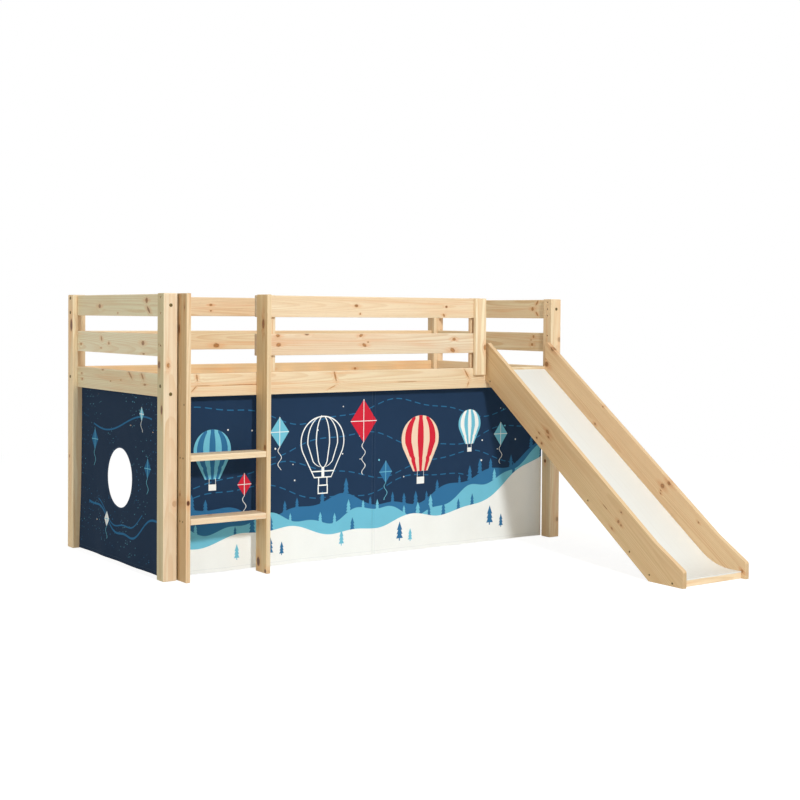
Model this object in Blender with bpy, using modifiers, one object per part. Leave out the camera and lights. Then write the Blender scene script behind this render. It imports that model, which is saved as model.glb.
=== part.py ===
"""Mid-height loft bed in knotty pine, with a ladder, a slide and cotton play curtains.

Lengths are in metres and +Z is up. X runs along the bed from its left end to its right end, and Y
runs from the front, where the ladder and the slide stand, to the back. The origin lies on the
floor, at the centre of the footprint of the bed and its slide.
"""

import math

import bmesh
import bpy
from mathutils import Vector

# Driving sizes of the whole bed
BED_LENGTH = 2.080
BED_WIDTH = 0.992
BED_HEIGHT = 1.140
SLIDE_REACH = 1.214

# Timber sections
POST_SIDE = 0.060
BOARD_THICKNESS = 0.018
PLANK_THICKNESS = 0.020
GUARD_RAIL_WIDTH = 0.090
SIDE_RAIL_WIDTH = 0.092
POST_ROUND = 0.004
BOARD_ROUND = 0.003
BATTEN_ROUND = 0.0015
ROUND_STEPS = 2

# Heights of the rails, from the top of the posts down
TOP_RAIL_DROP = 0.0025
RAIL_GAP = 0.0695

# Clearance between pieces that touch
JOINT_GAP = 0.0003

# Front guard rail, its two inner cleats and its outer post
GUARD_START = 0.427
OUTER_POST_WIDTH = 0.060
OUTER_POST_SLIDE_GAP = 0.012
OUTER_POST_DROP = 0.002
OUTER_POST_LAP = 0.032
CLEAT_WIDTH = 0.060
CLEAT_INSET = 0.041
CLEAT_DROP = 0.001
CLEAT_LIFT = 0.003

# Ladder
LADDER_START = 0.065
LADDER_DEPTH = 0.090
RUNG_THICKNESS = 0.024
RUNG_PITCH = 0.251
RUNG_SETBACK = 0.001

# Slide
SLIDE_WIDTH = 0.383
SLIDE_POST_GAP = 0.002
CHEEK_RISE = 0.139
CHEEK_SKIRT = 0.044
CHEEK_TOE_LENGTH = 0.152
CHEEK_TOE_ANGLE_SHARE = 0.865
CHEEK_CORNER_ROUND = 0.012
CHEEK_EDGE_ROUND = 0.005
SURFACE_DROP = 0.012
SURFACE_THICKNESS = 0.004
SURFACE_BEND_RADIUS = 0.270
SURFACE_LEVEL_LENGTH = 0.0555
SURFACE_END_HEIGHT = 0.0295
SURFACE_BEND_STEPS = 10
TOE_BAR_SETBACK = 0.022
TOE_BAR_DEPTH = 0.070
TOP_BATTEN_RUN = 0.0465
TOP_BATTEN_HEIGHT = 0.030
BATTEN_WIDTH = 0.040
BATTEN_HEIGHT = 0.022
BATTEN_PITCH = 0.248
LOWER_BATTEN_SETBACK = 0.048
BEND_BATTEN_ADVANCE = 0.055

# Slatted base
LEDGER_DEPTH = 0.020
LEDGER_HEIGHT = 0.030
SLAT_COUNT = 12
SLAT_WIDTH = 0.070
SLAT_THICKNESS = 0.018
SLAT_END_PLAY = 0.003
SLAT_END_MARGIN = 0.040

# Curtains
CLOTH_THICKNESS = 0.0016
CLOTH_SIDE_PLAY = 0.003
CLOTH_SEAM_GAP = 0.001
HEADING_DROP = 0.004
HEADING_HEIGHT = 0.022
HEM_HEIGHT = 0.010
FOLD_DEPTH = 0.007
FOLD_PITCH = 0.243
END_FOLD_DEPTH = 0.004
END_FOLD_PITCH = 0.290
END_FLARE = 0.012
CLOTH_CELL = 0.030
WINDOW_DIAMETER = 0.260
WINDOW_HEIGHT = 0.360
WINDOW_SHIFT = 0.006
WINDOW_STEPS = 40

# Bolts in the posts and screws in the slide's cheeks
BOLT_HEAD_RADIUS = 0.0055
BOLT_HEAD_HEIGHT = 0.005
BOLT_SHANK_RADIUS = 0.003
BOLT_LENGTH = 0.090
SCREW_HEAD_RADIUS = 0.0045
SCREW_HEAD_HEIGHT = 0.003
SCREW_SHANK_RADIUS = 0.0022
SCREW_LENGTH = 0.050
SOCKET_DEPTH_SHARE = 0.6
SOCKET_RADIUS_SHARE = 0.5
SOCKET_SIDES = 6
HEAD_SINK = 0.001
TURNED_STEPS = 16
PAIR_SPACING = 0.064
LOWER_BOLT_DROP = 0.031
FREE_HOLE_RADIUS = 0.0045
FREE_HOLE_DEPTH = 0.025

# Working values of the modelling itself
WELD_DISTANCE = 0.00001
OVERRUN = 0.002
CORNER_STEPS = 5
HALF_UNIT = 0.5
CLOTH_ROW_SHARE = 2.4
HEADING_TOLERANCE_SHARE = 0.01

# Places that follow from the sizes above
LEFT = -BED_LENGTH / 2
RIGHT = BED_LENGTH / 2
FRONT = (SLIDE_REACH - BED_WIDTH) / 2
BACK = FRONT + BED_WIDTH
BOARD_RECESS = (POST_SIDE - BOARD_THICKNESS) / 2
SPAN_LEFT = LEFT + POST_SIDE + JOINT_GAP
SPAN_RIGHT = RIGHT - POST_SIDE - JOINT_GAP
SPAN_FRONT = FRONT + POST_SIDE + JOINT_GAP
SPAN_BACK = BACK - POST_SIDE - JOINT_GAP
TOP_RAIL_TOP = BED_HEIGHT - TOP_RAIL_DROP
TOP_RAIL_BOTTOM = TOP_RAIL_TOP - GUARD_RAIL_WIDTH
MIDDLE_RAIL_TOP = TOP_RAIL_BOTTOM - RAIL_GAP
MIDDLE_RAIL_BOTTOM = MIDDLE_RAIL_TOP - GUARD_RAIL_WIDTH
SIDE_RAIL_TOP = MIDDLE_RAIL_BOTTOM - RAIL_GAP
SIDE_RAIL_BOTTOM = SIDE_RAIL_TOP - SIDE_RAIL_WIDTH
RAIL_FRONT = FRONT + BOARD_RECESS
RAIL_INNER_FRONT = RAIL_FRONT + BOARD_THICKNESS
RAIL_BACK = BACK - BOARD_RECESS
RAIL_INNER_BACK = RAIL_BACK - BOARD_THICKNESS
END_LEFT = LEFT + BOARD_RECESS
END_INNER_LEFT = END_LEFT + BOARD_THICKNESS
END_RIGHT = RIGHT - BOARD_RECESS
END_INNER_RIGHT = END_RIGHT - BOARD_THICKNESS
STAND_FACE = RAIL_FRONT - JOINT_GAP
LEDGER_FRONT_FACE = RAIL_INNER_FRONT + JOINT_GAP + LEDGER_DEPTH
LEDGER_BACK_FACE = RAIL_INNER_BACK - JOINT_GAP - LEDGER_DEPTH
LEDGER_TOP = SIDE_RAIL_BOTTOM + LEDGER_HEIGHT
SLAT_BOTTOM = LEDGER_TOP + JOINT_GAP
SLAT_TOP = SLAT_BOTTOM + SLAT_THICKNESS
SLIDE_RIGHT = RIGHT - POST_SIDE - SLIDE_POST_GAP
SLIDE_LEFT = SLIDE_RIGHT - SLIDE_WIDTH
SLIDE_TOE = FRONT - SLIDE_REACH
SLIDE_INNER_LEFT = SLIDE_LEFT + PLANK_THICKNESS + JOINT_GAP
SLIDE_INNER_RIGHT = SLIDE_RIGHT - PLANK_THICKNESS - JOINT_GAP
SURFACE_TOP = SIDE_RAIL_TOP - SURFACE_DROP
SURFACE_END_RUN = STAND_FACE - SLIDE_TOE - TOE_BAR_SETBACK
LEVEL_RUN = SURFACE_END_RUN - SURFACE_LEVEL_LENGTH
FALL_TO_BEND_CENTRE = SURFACE_TOP - SURFACE_END_HEIGHT - SURFACE_BEND_RADIUS
SLIDE_ANGLE = (math.atan2(FALL_TO_BEND_CENTRE, LEVEL_RUN)
               + math.asin(SURFACE_BEND_RADIUS / math.hypot(FALL_TO_BEND_CENTRE, LEVEL_RUN)))
SLIDE_SLOPE = math.tan(SLIDE_ANGLE)
STRAIGHT_RUN = LEVEL_RUN - SURFACE_BEND_RADIUS * math.sin(SLIDE_ANGLE)
LOWER_BATTEN_RUN = STRAIGHT_RUN - LOWER_BATTEN_SETBACK
UPPER_BATTEN_RUN = LOWER_BATTEN_RUN - BATTEN_PITCH
BEND_BATTEN_RUN = STRAIGHT_RUN + BEND_BATTEN_ADVANCE
CHEEK_TOP = SURFACE_TOP + CHEEK_RISE
CHEEK_LOWER_END = SURFACE_TOP - CHEEK_SKIRT
POST_CENTRE = POST_SIDE / 2

COLLECTION_NAME = "loft_bed_with_slide"


def srgb(red, green, blue):
    """Return the linear colour of an 8-bit display colour."""
    def linear(value):
        share = value / 255
        if share <= 0.04045:
            return share / 12.92
        return ((share + 0.055) / 1.055) ** 2.4

    return (linear(red), linear(green), linear(blue), 1.0)


def make_material(name, colour, roughness, metallic=0.0):
    """Return a new Principled material of one colour."""
    material = bpy.data.materials.new(name)
    material.use_nodes = True
    shader = material.node_tree.nodes["Principled BSDF"]
    shader.inputs["Base Color"].default_value = colour
    shader.inputs["Roughness"].default_value = roughness
    shader.inputs["Metallic"].default_value = metallic
    material.diffuse_color = colour
    return material


def make_collection(name):
    """Return a new collection, linked to the scene."""
    collection = bpy.data.collections.new(name)
    bpy.context.scene.collection.children.link(collection)
    return collection


def make_group(name):
    """Return a new empty that holds the pieces of one sub-assembly."""
    group = bpy.data.objects.new(name, None)
    group.empty_display_size = POST_SIDE
    PARTS.objects.link(group)
    return group


def claim(piece, name, material, group):
    """Name a piece, and give it its material, its collection and its parent."""
    piece.name = name
    piece.data.name = name
    piece.data.materials.clear()
    piece.data.materials.append(material)
    for collection in list(piece.users_collection):
        collection.objects.unlink(piece)
    PARTS.objects.link(piece)
    piece.parent = group
    return piece


def round_edges(piece, radius):
    """Round the edges of a piece that are sharper than 30 degrees."""
    bevel = piece.modifiers.new("Rounded edges", "BEVEL")
    bevel.width = radius
    bevel.segments = ROUND_STEPS
    bevel.limit_method = "ANGLE"
    return piece


def board(name, low, high, material, group, rounding=BOARD_ROUND):
    """Add a rectangular board between two opposite corners."""
    size = Vector(high) - Vector(low)
    centre = (Vector(high) + Vector(low)) / 2
    bpy.ops.mesh.primitive_cube_add(size=1, location=centre)
    piece = bpy.context.object
    piece.scale = size
    bpy.ops.object.transform_apply(location=False, rotation=False, scale=True)
    claim(piece, name, material, group)
    return round_edges(piece, rounding)


def outline_plate(name, outline, x_low, x_high, material, group):
    """Add a plate whose outline lies in the YZ plane and whose thickness runs along X."""
    curve = bpy.data.curves.new(name, "CURVE")
    curve.dimensions = "2D"
    curve.fill_mode = "BOTH"
    curve.extrude = (x_high - x_low) / 2
    spline = curve.splines.new("POLY")
    spline.points.add(len(outline) - 1)
    for point, (y, z) in zip(spline.points, outline):
        point.co = (y, z, 0, 1)
    spline.use_cyclic_u = True
    source = bpy.data.objects.new(name, curve)
    PARTS.objects.link(source)
    bpy.context.view_layer.update()
    evaluated = source.evaluated_get(bpy.context.evaluated_depsgraph_get())
    mesh = bpy.data.meshes.new_from_object(evaluated)
    bpy.data.objects.remove(source)
    weld(mesh)
    piece = bpy.data.objects.new(name, mesh)
    piece.location = ((x_low + x_high) / 2, 0, 0)
    piece.rotation_euler = (math.pi / 2, 0, math.pi / 2)
    PARTS.objects.link(piece)
    return claim(piece, name, material, group)


def weld(mesh):
    """Join the loose caps of a mesh that came from a curve."""
    work = bmesh.new()
    work.from_mesh(mesh)
    bmesh.ops.remove_doubles(work, verts=work.verts, dist=WELD_DISTANCE)
    bmesh.ops.recalc_face_normals(work, faces=work.faces)
    work.to_mesh(mesh)
    work.free()


def rounded_corner(before, corner, after, radius):
    """Return the points of an arc that rounds one corner of an outline."""
    to_before = (Vector(before) - Vector(corner)).normalized()
    to_after = (Vector(after) - Vector(corner)).normalized()
    half_angle = to_before.angle(to_after) / 2
    bisector = (to_before + to_after).normalized()
    centre = Vector(corner) + bisector * (radius / math.sin(half_angle))
    start = Vector(corner) + to_before * (radius / math.tan(half_angle)) - centre
    end = Vector(corner) + to_after * (radius / math.tan(half_angle)) - centre
    sweep = start.angle(end)
    points = []
    for step in range(CORNER_STEPS + 1):
        share = step / CORNER_STEPS
        near = math.sin((1 - share) * sweep) / math.sin(sweep)
        far = math.sin(share * sweep) / math.sin(sweep)
        points.append(tuple(centre + start * near + end * far))
    return points


def add_cutter(cutter, name):
    """Move a cutting tool into its own collection and hide it from renders."""
    cutter.name = name
    cutter.display_type = "WIRE"
    cutter.hide_render = True
    for collection in list(cutter.users_collection):
        collection.objects.unlink(cutter)
    CUTTERS.objects.link(cutter)
    return cutter


def cut(piece, cutter):
    """Cut one piece with one tool."""
    boolean = piece.modifiers.new("Cut by " + cutter.name, "BOOLEAN")
    boolean.operation = "DIFFERENCE"
    boolean.object = cutter


def turned_mesh(name, profile):
    """Return the mesh of a profile of (radius, height) points turned about Z, top to bottom."""
    mesh = bpy.data.meshes.new(name + "_profile")
    edges = [(index, index + 1) for index in range(len(profile) - 1)]
    mesh.from_pydata([(radius, 0, height) for radius, height in profile], edges, [])
    source = bpy.data.objects.new(name + "_profile", mesh)
    CUTTERS.objects.link(source)
    screw = source.modifiers.new("Turning", "SCREW")
    screw.steps = TURNED_STEPS
    screw.render_steps = TURNED_STEPS
    screw.use_merge_vertices = True
    screw.merge_threshold = WELD_DISTANCE
    bpy.context.view_layer.update()
    evaluated = source.evaluated_get(bpy.context.evaluated_depsgraph_get())
    turned = bpy.data.meshes.new_from_object(evaluated)
    bpy.data.objects.remove(source)
    weld(turned)
    turned.name = name
    return turned


def fastener_meshes(name, head_radius, head_height, shank_radius, length):
    """Return the meshes of a socket-head fastener and of the bore that takes it.

    Both have their head's top face at the origin, with the shank running down -Z.
    """
    body = [(0, 0), (head_radius, 0), (head_radius, -head_height), (shank_radius, -head_height),
            (shank_radius, -length), (0, -length)]
    solid = bpy.data.objects.new(name + "_blank", turned_mesh(name + "_blank", body))
    CUTTERS.objects.link(solid)
    socket_depth = head_height * SOCKET_DEPTH_SHARE
    bpy.ops.mesh.primitive_cylinder_add(
        vertices=SOCKET_SIDES, radius=head_radius * SOCKET_RADIUS_SHARE, depth=socket_depth * 2)
    socket = add_cutter(bpy.context.object, name + "_socket")
    cut(solid, socket)
    bpy.context.view_layer.update()
    evaluated = solid.evaluated_get(bpy.context.evaluated_depsgraph_get())
    fastener = bpy.data.meshes.new_from_object(evaluated)
    fastener.name = name
    bpy.data.objects.remove(solid)
    bpy.data.objects.remove(socket)
    wide = head_radius + JOINT_GAP
    narrow = shank_radius + JOINT_GAP
    shoulder = -head_height - JOINT_GAP
    bore = [(0, OVERRUN), (wide, OVERRUN), (wide, shoulder), (narrow, shoulder),
            (narrow, -length - JOINT_GAP), (0, -length - JOINT_GAP)]
    return fastener, turned_mesh(name + "_bore", bore)


def fasten(name, meshes, point, outward, pieces, group):
    """Set a fastener into the face at a point, and bore each piece that it passes through."""
    fastener_mesh, bore_mesh = meshes
    direction = Vector(outward)
    turn = direction.to_track_quat("Z", "Y").to_euler()
    place = Vector(point) - direction * HEAD_SINK
    piece = bpy.data.objects.new(name, fastener_mesh.copy())
    piece.location = place
    piece.rotation_euler = turn
    PARTS.objects.link(piece)
    claim(piece, name, STEEL, group)
    bore = bpy.data.objects.new(name + "_bore", bore_mesh)
    bore.location = place
    bore.rotation_euler = turn
    CUTTERS.objects.link(bore)
    add_cutter(bore, name + "_bore")
    for wood in pieces:
        cut(wood, bore)


def drill(name, piece, point, outward):
    """Drill a blind hole for a bolt into the face at a point."""
    direction = Vector(outward)
    length = FREE_HOLE_DEPTH + OVERRUN
    bpy.ops.mesh.primitive_cylinder_add(
        vertices=TURNED_STEPS, radius=FREE_HOLE_RADIUS, depth=length,
        location=Vector(point) + direction * (OVERRUN - length / 2),
        rotation=direction.to_track_quat("Z", "Y").to_euler())
    cut(piece, add_cutter(bpy.context.object, name))


def build_posts():
    """Add the four corner posts and return them by name."""
    group = make_group("posts")
    posts = {}
    for side, x in (("left", LEFT), ("right", RIGHT - POST_SIDE)):
        for row, y in (("front", FRONT), ("rear", BACK - POST_SIDE)):
            name = "post_" + row + "_" + side
            posts[name] = board(name, (x, y, 0), (x + POST_SIDE, y + POST_SIDE, BED_HEIGHT), PINE,
                                group, POST_ROUND)
    return posts


def build_end_frames():
    """Add the three rails of each end, let into the middle of the posts, and return them."""
    group = make_group("end_frames")
    levels = (("top", TOP_RAIL_BOTTOM, TOP_RAIL_TOP),
              ("middle", MIDDLE_RAIL_BOTTOM, MIDDLE_RAIL_TOP),
              ("lower", SIDE_RAIL_BOTTOM, SIDE_RAIL_TOP))
    rails = {}
    for side, x in (("left", END_LEFT), ("right", END_INNER_RIGHT)):
        for level, bottom, top in levels:
            name = side + "_end_" + level + "_rail"
            rails[name] = board(name, (x, SPAN_FRONT, bottom), (x + BOARD_THICKNESS, SPAN_BACK, top),
                                PINE, group)
    return rails


def build_long_rails():
    """Add the two side rails and the two rear guard rails, and return them."""
    group = make_group("long_rails")
    rails = {}
    for name, y, bottom, top in (
            ("front_side_rail", RAIL_FRONT, SIDE_RAIL_BOTTOM, SIDE_RAIL_TOP),
            ("rear_side_rail", RAIL_INNER_BACK, SIDE_RAIL_BOTTOM, SIDE_RAIL_TOP),
            ("rear_guard_top_rail", RAIL_INNER_BACK, TOP_RAIL_BOTTOM, TOP_RAIL_TOP),
            ("rear_guard_middle_rail", RAIL_INNER_BACK, MIDDLE_RAIL_BOTTOM, MIDDLE_RAIL_TOP)):
        rails[name] = board(name, (SPAN_LEFT, y, bottom), (SPAN_RIGHT, y + BOARD_THICKNESS, top),
                            PINE, group)
    return rails


def build_front_guard():
    """Add the front guard: two rails on two inner cleats, and the outer post by the slide."""
    group = make_group("front_guard")
    left = LEFT + GUARD_START
    right = SLIDE_LEFT - OUTER_POST_SLIDE_GAP
    for level, bottom, top in (("top", TOP_RAIL_BOTTOM, TOP_RAIL_TOP),
                               ("middle", MIDDLE_RAIL_BOTTOM, MIDDLE_RAIL_TOP)):
        board("front_guard_" + level + "_rail", (left, RAIL_FRONT, bottom),
              (right, RAIL_INNER_FRONT, top), PINE, group)
    cleat_front = RAIL_INNER_FRONT + JOINT_GAP
    for side, x in (("left", left + CLEAT_INSET), ("right", right - CLEAT_WIDTH)):
        board("front_guard_" + side + "_cleat", (x, cleat_front, SLAT_TOP + CLEAT_LIFT),
              (x + CLEAT_WIDTH, cleat_front + PLANK_THICKNESS, BED_HEIGHT - CLEAT_DROP), PINE, group)
    board("front_guard_outer_post",
          (right - OUTER_POST_WIDTH, STAND_FACE - PLANK_THICKNESS, SIDE_RAIL_TOP - OUTER_POST_LAP),
          (right, STAND_FACE, BED_HEIGHT - OUTER_POST_DROP), PINE, group)


def build_ladder():
    """Add the ladder: two plank uprights on edge, with two deep rungs between them."""
    group = make_group("ladder")
    left = LEFT + LADDER_START
    right = LEFT + GUARD_START + PLANK_THICKNESS
    face = STAND_FACE - LADDER_DEPTH
    for side, x in (("left", left), ("right", right - PLANK_THICKNESS)):
        board("ladder_" + side + "_upright", (x, face, 0),
              (x + PLANK_THICKNESS, STAND_FACE, BED_HEIGHT), SLIDE_PINE, group)
    rung_left = left + PLANK_THICKNESS + JOINT_GAP
    rung_right = right - PLANK_THICKNESS - JOINT_GAP
    for index, level in enumerate(("lower", "upper")):
        top = RUNG_PITCH * (index + 1)
        board("ladder_" + level + "_rung", (rung_left, face + RUNG_SETBACK, top - RUNG_THICKNESS),
              (rung_right, STAND_FACE - RUNG_SETBACK, top), SLIDE_PINE, group)


def cheek_outline():
    """Return the outline of one slide cheek: sloping, cut flat on the floor, with a blunt toe."""
    bend_run = STAND_FACE - SLIDE_TOE - CHEEK_TOE_LENGTH
    bend_height = CHEEK_TOP - bend_run * SLIDE_SLOPE
    toe_fall = CHEEK_TOE_LENGTH * math.tan(SLIDE_ANGLE * CHEEK_TOE_ANGLE_SHARE)
    back_bottom = (STAND_FACE, CHEEK_LOWER_END)
    back_top = (STAND_FACE, CHEEK_TOP)
    bend = (STAND_FACE - bend_run, bend_height)
    toe_top = (SLIDE_TOE, bend_height - toe_fall)
    toe_bottom = (SLIDE_TOE, 0)
    heel = STAND_FACE - CHEEK_LOWER_END / SLIDE_SLOPE
    outline = [back_bottom]
    outline += rounded_corner(back_bottom, back_top, bend, CHEEK_CORNER_ROUND)
    outline += [bend]
    outline += rounded_corner(bend, toe_top, toe_bottom, CHEEK_CORNER_ROUND)
    outline += [toe_bottom, (heel, 0)]
    return outline


def surface_height(run):
    """Return the height of the sliding surface at a distance in front of the bed's rail."""
    if run <= STRAIGHT_RUN:
        return SURFACE_TOP - run * SLIDE_SLOPE
    across = max(LEVEL_RUN - run, 0)
    drop = math.sqrt(SURFACE_BEND_RADIUS ** 2 - across ** 2)
    return SURFACE_END_HEIGHT + SURFACE_BEND_RADIUS - drop


def surface_outline():
    """Return the outline of the sliding sheet, edge on: straight, bent, then level at the toe."""
    vertical = SURFACE_THICKNESS / math.cos(SLIDE_ANGLE)
    upper = [(STAND_FACE, SURFACE_TOP)]
    lower = [(STAND_FACE, SURFACE_TOP - vertical)]
    centre = (STAND_FACE - LEVEL_RUN, SURFACE_END_HEIGHT + SURFACE_BEND_RADIUS)
    for step in range(SURFACE_BEND_STEPS + 1):
        angle = SLIDE_ANGLE * (1 - step / SURFACE_BEND_STEPS)
        for points, radius in ((upper, SURFACE_BEND_RADIUS),
                               (lower, SURFACE_BEND_RADIUS + SURFACE_THICKNESS)):
            points.append((centre[0] + radius * math.sin(angle), centre[1] - radius * math.cos(angle)))
    upper.append((STAND_FACE - SURFACE_END_RUN, SURFACE_END_HEIGHT))
    lower.append((STAND_FACE - SURFACE_END_RUN, SURFACE_END_HEIGHT - SURFACE_THICKNESS))
    return upper + lower[::-1]


def sloping_batten(name, run, height, group):
    """Add a batten square to the slope, just under the sliding sheet, and return its centre."""
    below = SURFACE_THICKNESS + JOINT_GAP + height / 2
    top = Vector((0, STAND_FACE - run, surface_height(run)))
    centre = top + Vector((0, math.sin(SLIDE_ANGLE), -math.cos(SLIDE_ANGLE))) * below
    half = Vector(((SLIDE_INNER_RIGHT - SLIDE_INNER_LEFT) / 2, BATTEN_WIDTH / 2, height / 2))
    piece = board(name, -half, half, SLIDE_PINE, group, BATTEN_ROUND)
    piece.location = ((SLIDE_INNER_LEFT + SLIDE_INNER_RIGHT) / 2, centre.y, centre.z)
    piece.rotation_euler = (SLIDE_ANGLE, 0, 0)
    return piece, centre


def level_batten(name, back_run, depth, top, height, group):
    """Add a level batten between the cheeks and return its centre."""
    y_high = STAND_FACE - back_run
    piece = board(name, (SLIDE_INNER_LEFT, y_high - depth, top - height),
                  (SLIDE_INNER_RIGHT, y_high, top), SLIDE_PINE, group, BATTEN_ROUND)
    return piece, Vector((0, y_high - depth / 2, top - height / 2))


def build_slide():
    """Add the slide: two cheeks, the bent sliding sheet, and the battens that carry it."""
    group = make_group("slide")
    cheeks = {}
    for side, x in (("left", SLIDE_LEFT), ("right", SLIDE_RIGHT - PLANK_THICKNESS)):
        name = "slide_" + side + "_cheek"
        cheeks[side] = outline_plate(name, cheek_outline(), x, x + PLANK_THICKNESS, SLIDE_PINE,
                                     group)
        round_edges(cheeks[side], CHEEK_EDGE_ROUND)
    outline_plate("slide_surface", surface_outline(), SLIDE_INNER_LEFT, SLIDE_INNER_RIGHT, LAMINATE,
                  group)

    under = SURFACE_THICKNESS / math.cos(SLIDE_ANGLE) + JOINT_GAP
    bend_front_run = BEND_BATTEN_RUN + BATTEN_WIDTH / 2
    toe_bar_top = SURFACE_END_HEIGHT - SURFACE_THICKNESS - JOINT_GAP
    battens = [
        sloping_batten("slide_top_batten", TOP_BATTEN_RUN, TOP_BATTEN_HEIGHT, group),
        sloping_batten("slide_upper_batten", UPPER_BATTEN_RUN, BATTEN_HEIGHT, group),
        sloping_batten("slide_lower_batten", LOWER_BATTEN_RUN, BATTEN_HEIGHT, group),
        level_batten("slide_bend_batten", BEND_BATTEN_RUN - BATTEN_WIDTH / 2, BATTEN_WIDTH,
                     surface_height(bend_front_run) - under, BATTEN_HEIGHT, group),
        level_batten("slide_toe_bar", SURFACE_END_RUN - TOE_BAR_DEPTH, TOE_BAR_DEPTH, toe_bar_top,
                     toe_bar_top, group),
    ]
    meshes = fastener_meshes("slide_screw", SCREW_HEAD_RADIUS, SCREW_HEAD_HEIGHT,
                             SCREW_SHANK_RADIUS, SCREW_LENGTH)
    for number, (batten, centre) in enumerate(battens):
        fasten("slide_screw_" + str(number + 1), meshes, (SLIDE_LEFT, centre.y, centre.z),
               (-1, 0, 0), (cheeks["left"], batten), group)


def build_base():
    """Add the ledger on each side rail and the slats that lie on the ledgers."""
    group = make_group("slatted_base")
    for row, y in (("front", RAIL_INNER_FRONT + JOINT_GAP), ("rear", LEDGER_BACK_FACE)):
        board(row + "_slat_ledger", (SPAN_LEFT, y, SIDE_RAIL_BOTTOM),
              (SPAN_RIGHT, y + LEDGER_DEPTH, LEDGER_TOP), PINE, group, BATTEN_ROUND)
    first = END_INNER_LEFT + SLAT_END_MARGIN
    last = END_INNER_RIGHT - SLAT_END_MARGIN - SLAT_WIDTH
    pitch = (last - first) / (SLAT_COUNT - 1)
    for number in range(SLAT_COUNT):
        x = first + pitch * number
        board("bed_slat_" + str(number + 1).zfill(2),
              (x, RAIL_INNER_FRONT + SLAT_END_PLAY, SLAT_BOTTOM),
              (x + SLAT_WIDTH, RAIL_INNER_BACK - SLAT_END_PLAY, SLAT_TOP), SLAT_PINE, group,
              BATTEN_ROUND)


def hanging_cloth(name, width, top, fold, material, group):
    """Add a cloth that hangs in its own XZ plane, with +Y as its inner side.

    fold takes the distance along the cloth and the share of the way down, from 0 under the heading
    to 1 at the hem, and returns how far the cloth stands inwards there.
    """
    drop = top - HEM_HEIGHT
    columns = math.ceil(width / CLOTH_CELL)
    rows = math.ceil((drop - HEADING_HEIGHT) / (CLOTH_CELL * CLOTH_ROW_SHARE)) + 1
    work = bmesh.new()
    bmesh.ops.create_grid(work, x_segments=columns, y_segments=rows, size=HALF_UNIT)
    heading_step = 1 / rows
    for vertex in work.verts:
        along = (vertex.co.x / HALF_UNIT + 1) / 2
        down = (1 - vertex.co.y / HALF_UNIT) / 2
        if down < heading_step * (1 + HEADING_TOLERANCE_SHARE):
            height = top - HEADING_HEIGHT * down / heading_step
            inward = 0
        else:
            share = (down - heading_step) / (1 - heading_step)
            height = top - HEADING_HEIGHT - (drop - HEADING_HEIGHT) * share
            inward = fold(along * width, share)
        vertex.co = (along * width, inward, height)
    bmesh.ops.recalc_face_normals(work, faces=work.faces)
    mesh = bpy.data.meshes.new(name)
    work.to_mesh(mesh)
    work.free()
    piece = bpy.data.objects.new(name, mesh)
    PARTS.objects.link(piece)
    solid = piece.modifiers.new("Cloth thickness", "SOLIDIFY")
    solid.thickness = CLOTH_THICKNESS
    solid.offset = 0
    mesh.shade_smooth()
    return claim(piece, name, material, group)


def front_fold(along, share):
    """Return the folds of a front curtain: shallow waves that deepen towards the hem."""
    swell = FOLD_DEPTH * math.sqrt(share)
    wave = 1 - math.cos(2 * math.pi * along / FOLD_PITCH)
    return swell * wave / 2


def end_fold(along, share):
    """Return the folds of the end curtain, which also swings outwards towards its hem."""
    wave = 1 - math.cos(2 * math.pi * along / END_FOLD_PITCH)
    return END_FOLD_DEPTH * share * wave / 2 - END_FLARE * share ** 2


def build_curtains():
    """Add the two front curtains and the end curtain with its round window."""
    group = make_group("curtains")
    middle = (LEFT + RIGHT) / 2
    start = LEFT + POST_SIDE + CLOTH_SIDE_PLAY
    end = RIGHT - POST_SIDE - CLOTH_SIDE_PLAY
    offset = JOINT_GAP + CLOTH_THICKNESS / 2
    for side, x_low, x_high in (("left", start, middle - CLOTH_SEAM_GAP / 2),
                                ("right", middle + CLOTH_SEAM_GAP / 2, end)):
        panel = hanging_cloth("curtain_front_" + side, x_high - x_low, LEDGER_TOP - HEADING_DROP,
                              front_fold, COTTON, group)
        panel.location = (x_low, LEDGER_FRONT_FACE + offset, 0)

    y_low = FRONT + POST_SIDE + CLOTH_SIDE_PLAY
    y_high = BACK - POST_SIDE - CLOTH_SIDE_PLAY
    panel = hanging_cloth("curtain_left_end", y_high - y_low, LEDGER_TOP - HEADING_DROP, end_fold,
                          COTTON, group)
    panel.rotation_euler = (0, 0, -math.pi / 2)
    panel.location = (END_INNER_LEFT + offset, y_high, 0)
    reach = END_FLARE + END_FOLD_DEPTH + CLOTH_THICKNESS + OVERRUN
    bpy.ops.mesh.primitive_cylinder_add(
        vertices=WINDOW_STEPS, radius=WINDOW_DIAMETER / 2, depth=reach * 2,
        location=(END_INNER_LEFT + offset, (FRONT + BACK) / 2 + WINDOW_SHIFT, WINDOW_HEIGHT),
        rotation=(0, math.pi / 2, 0))
    cut(panel, add_cutter(bpy.context.object, "window_cutter"))


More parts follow.
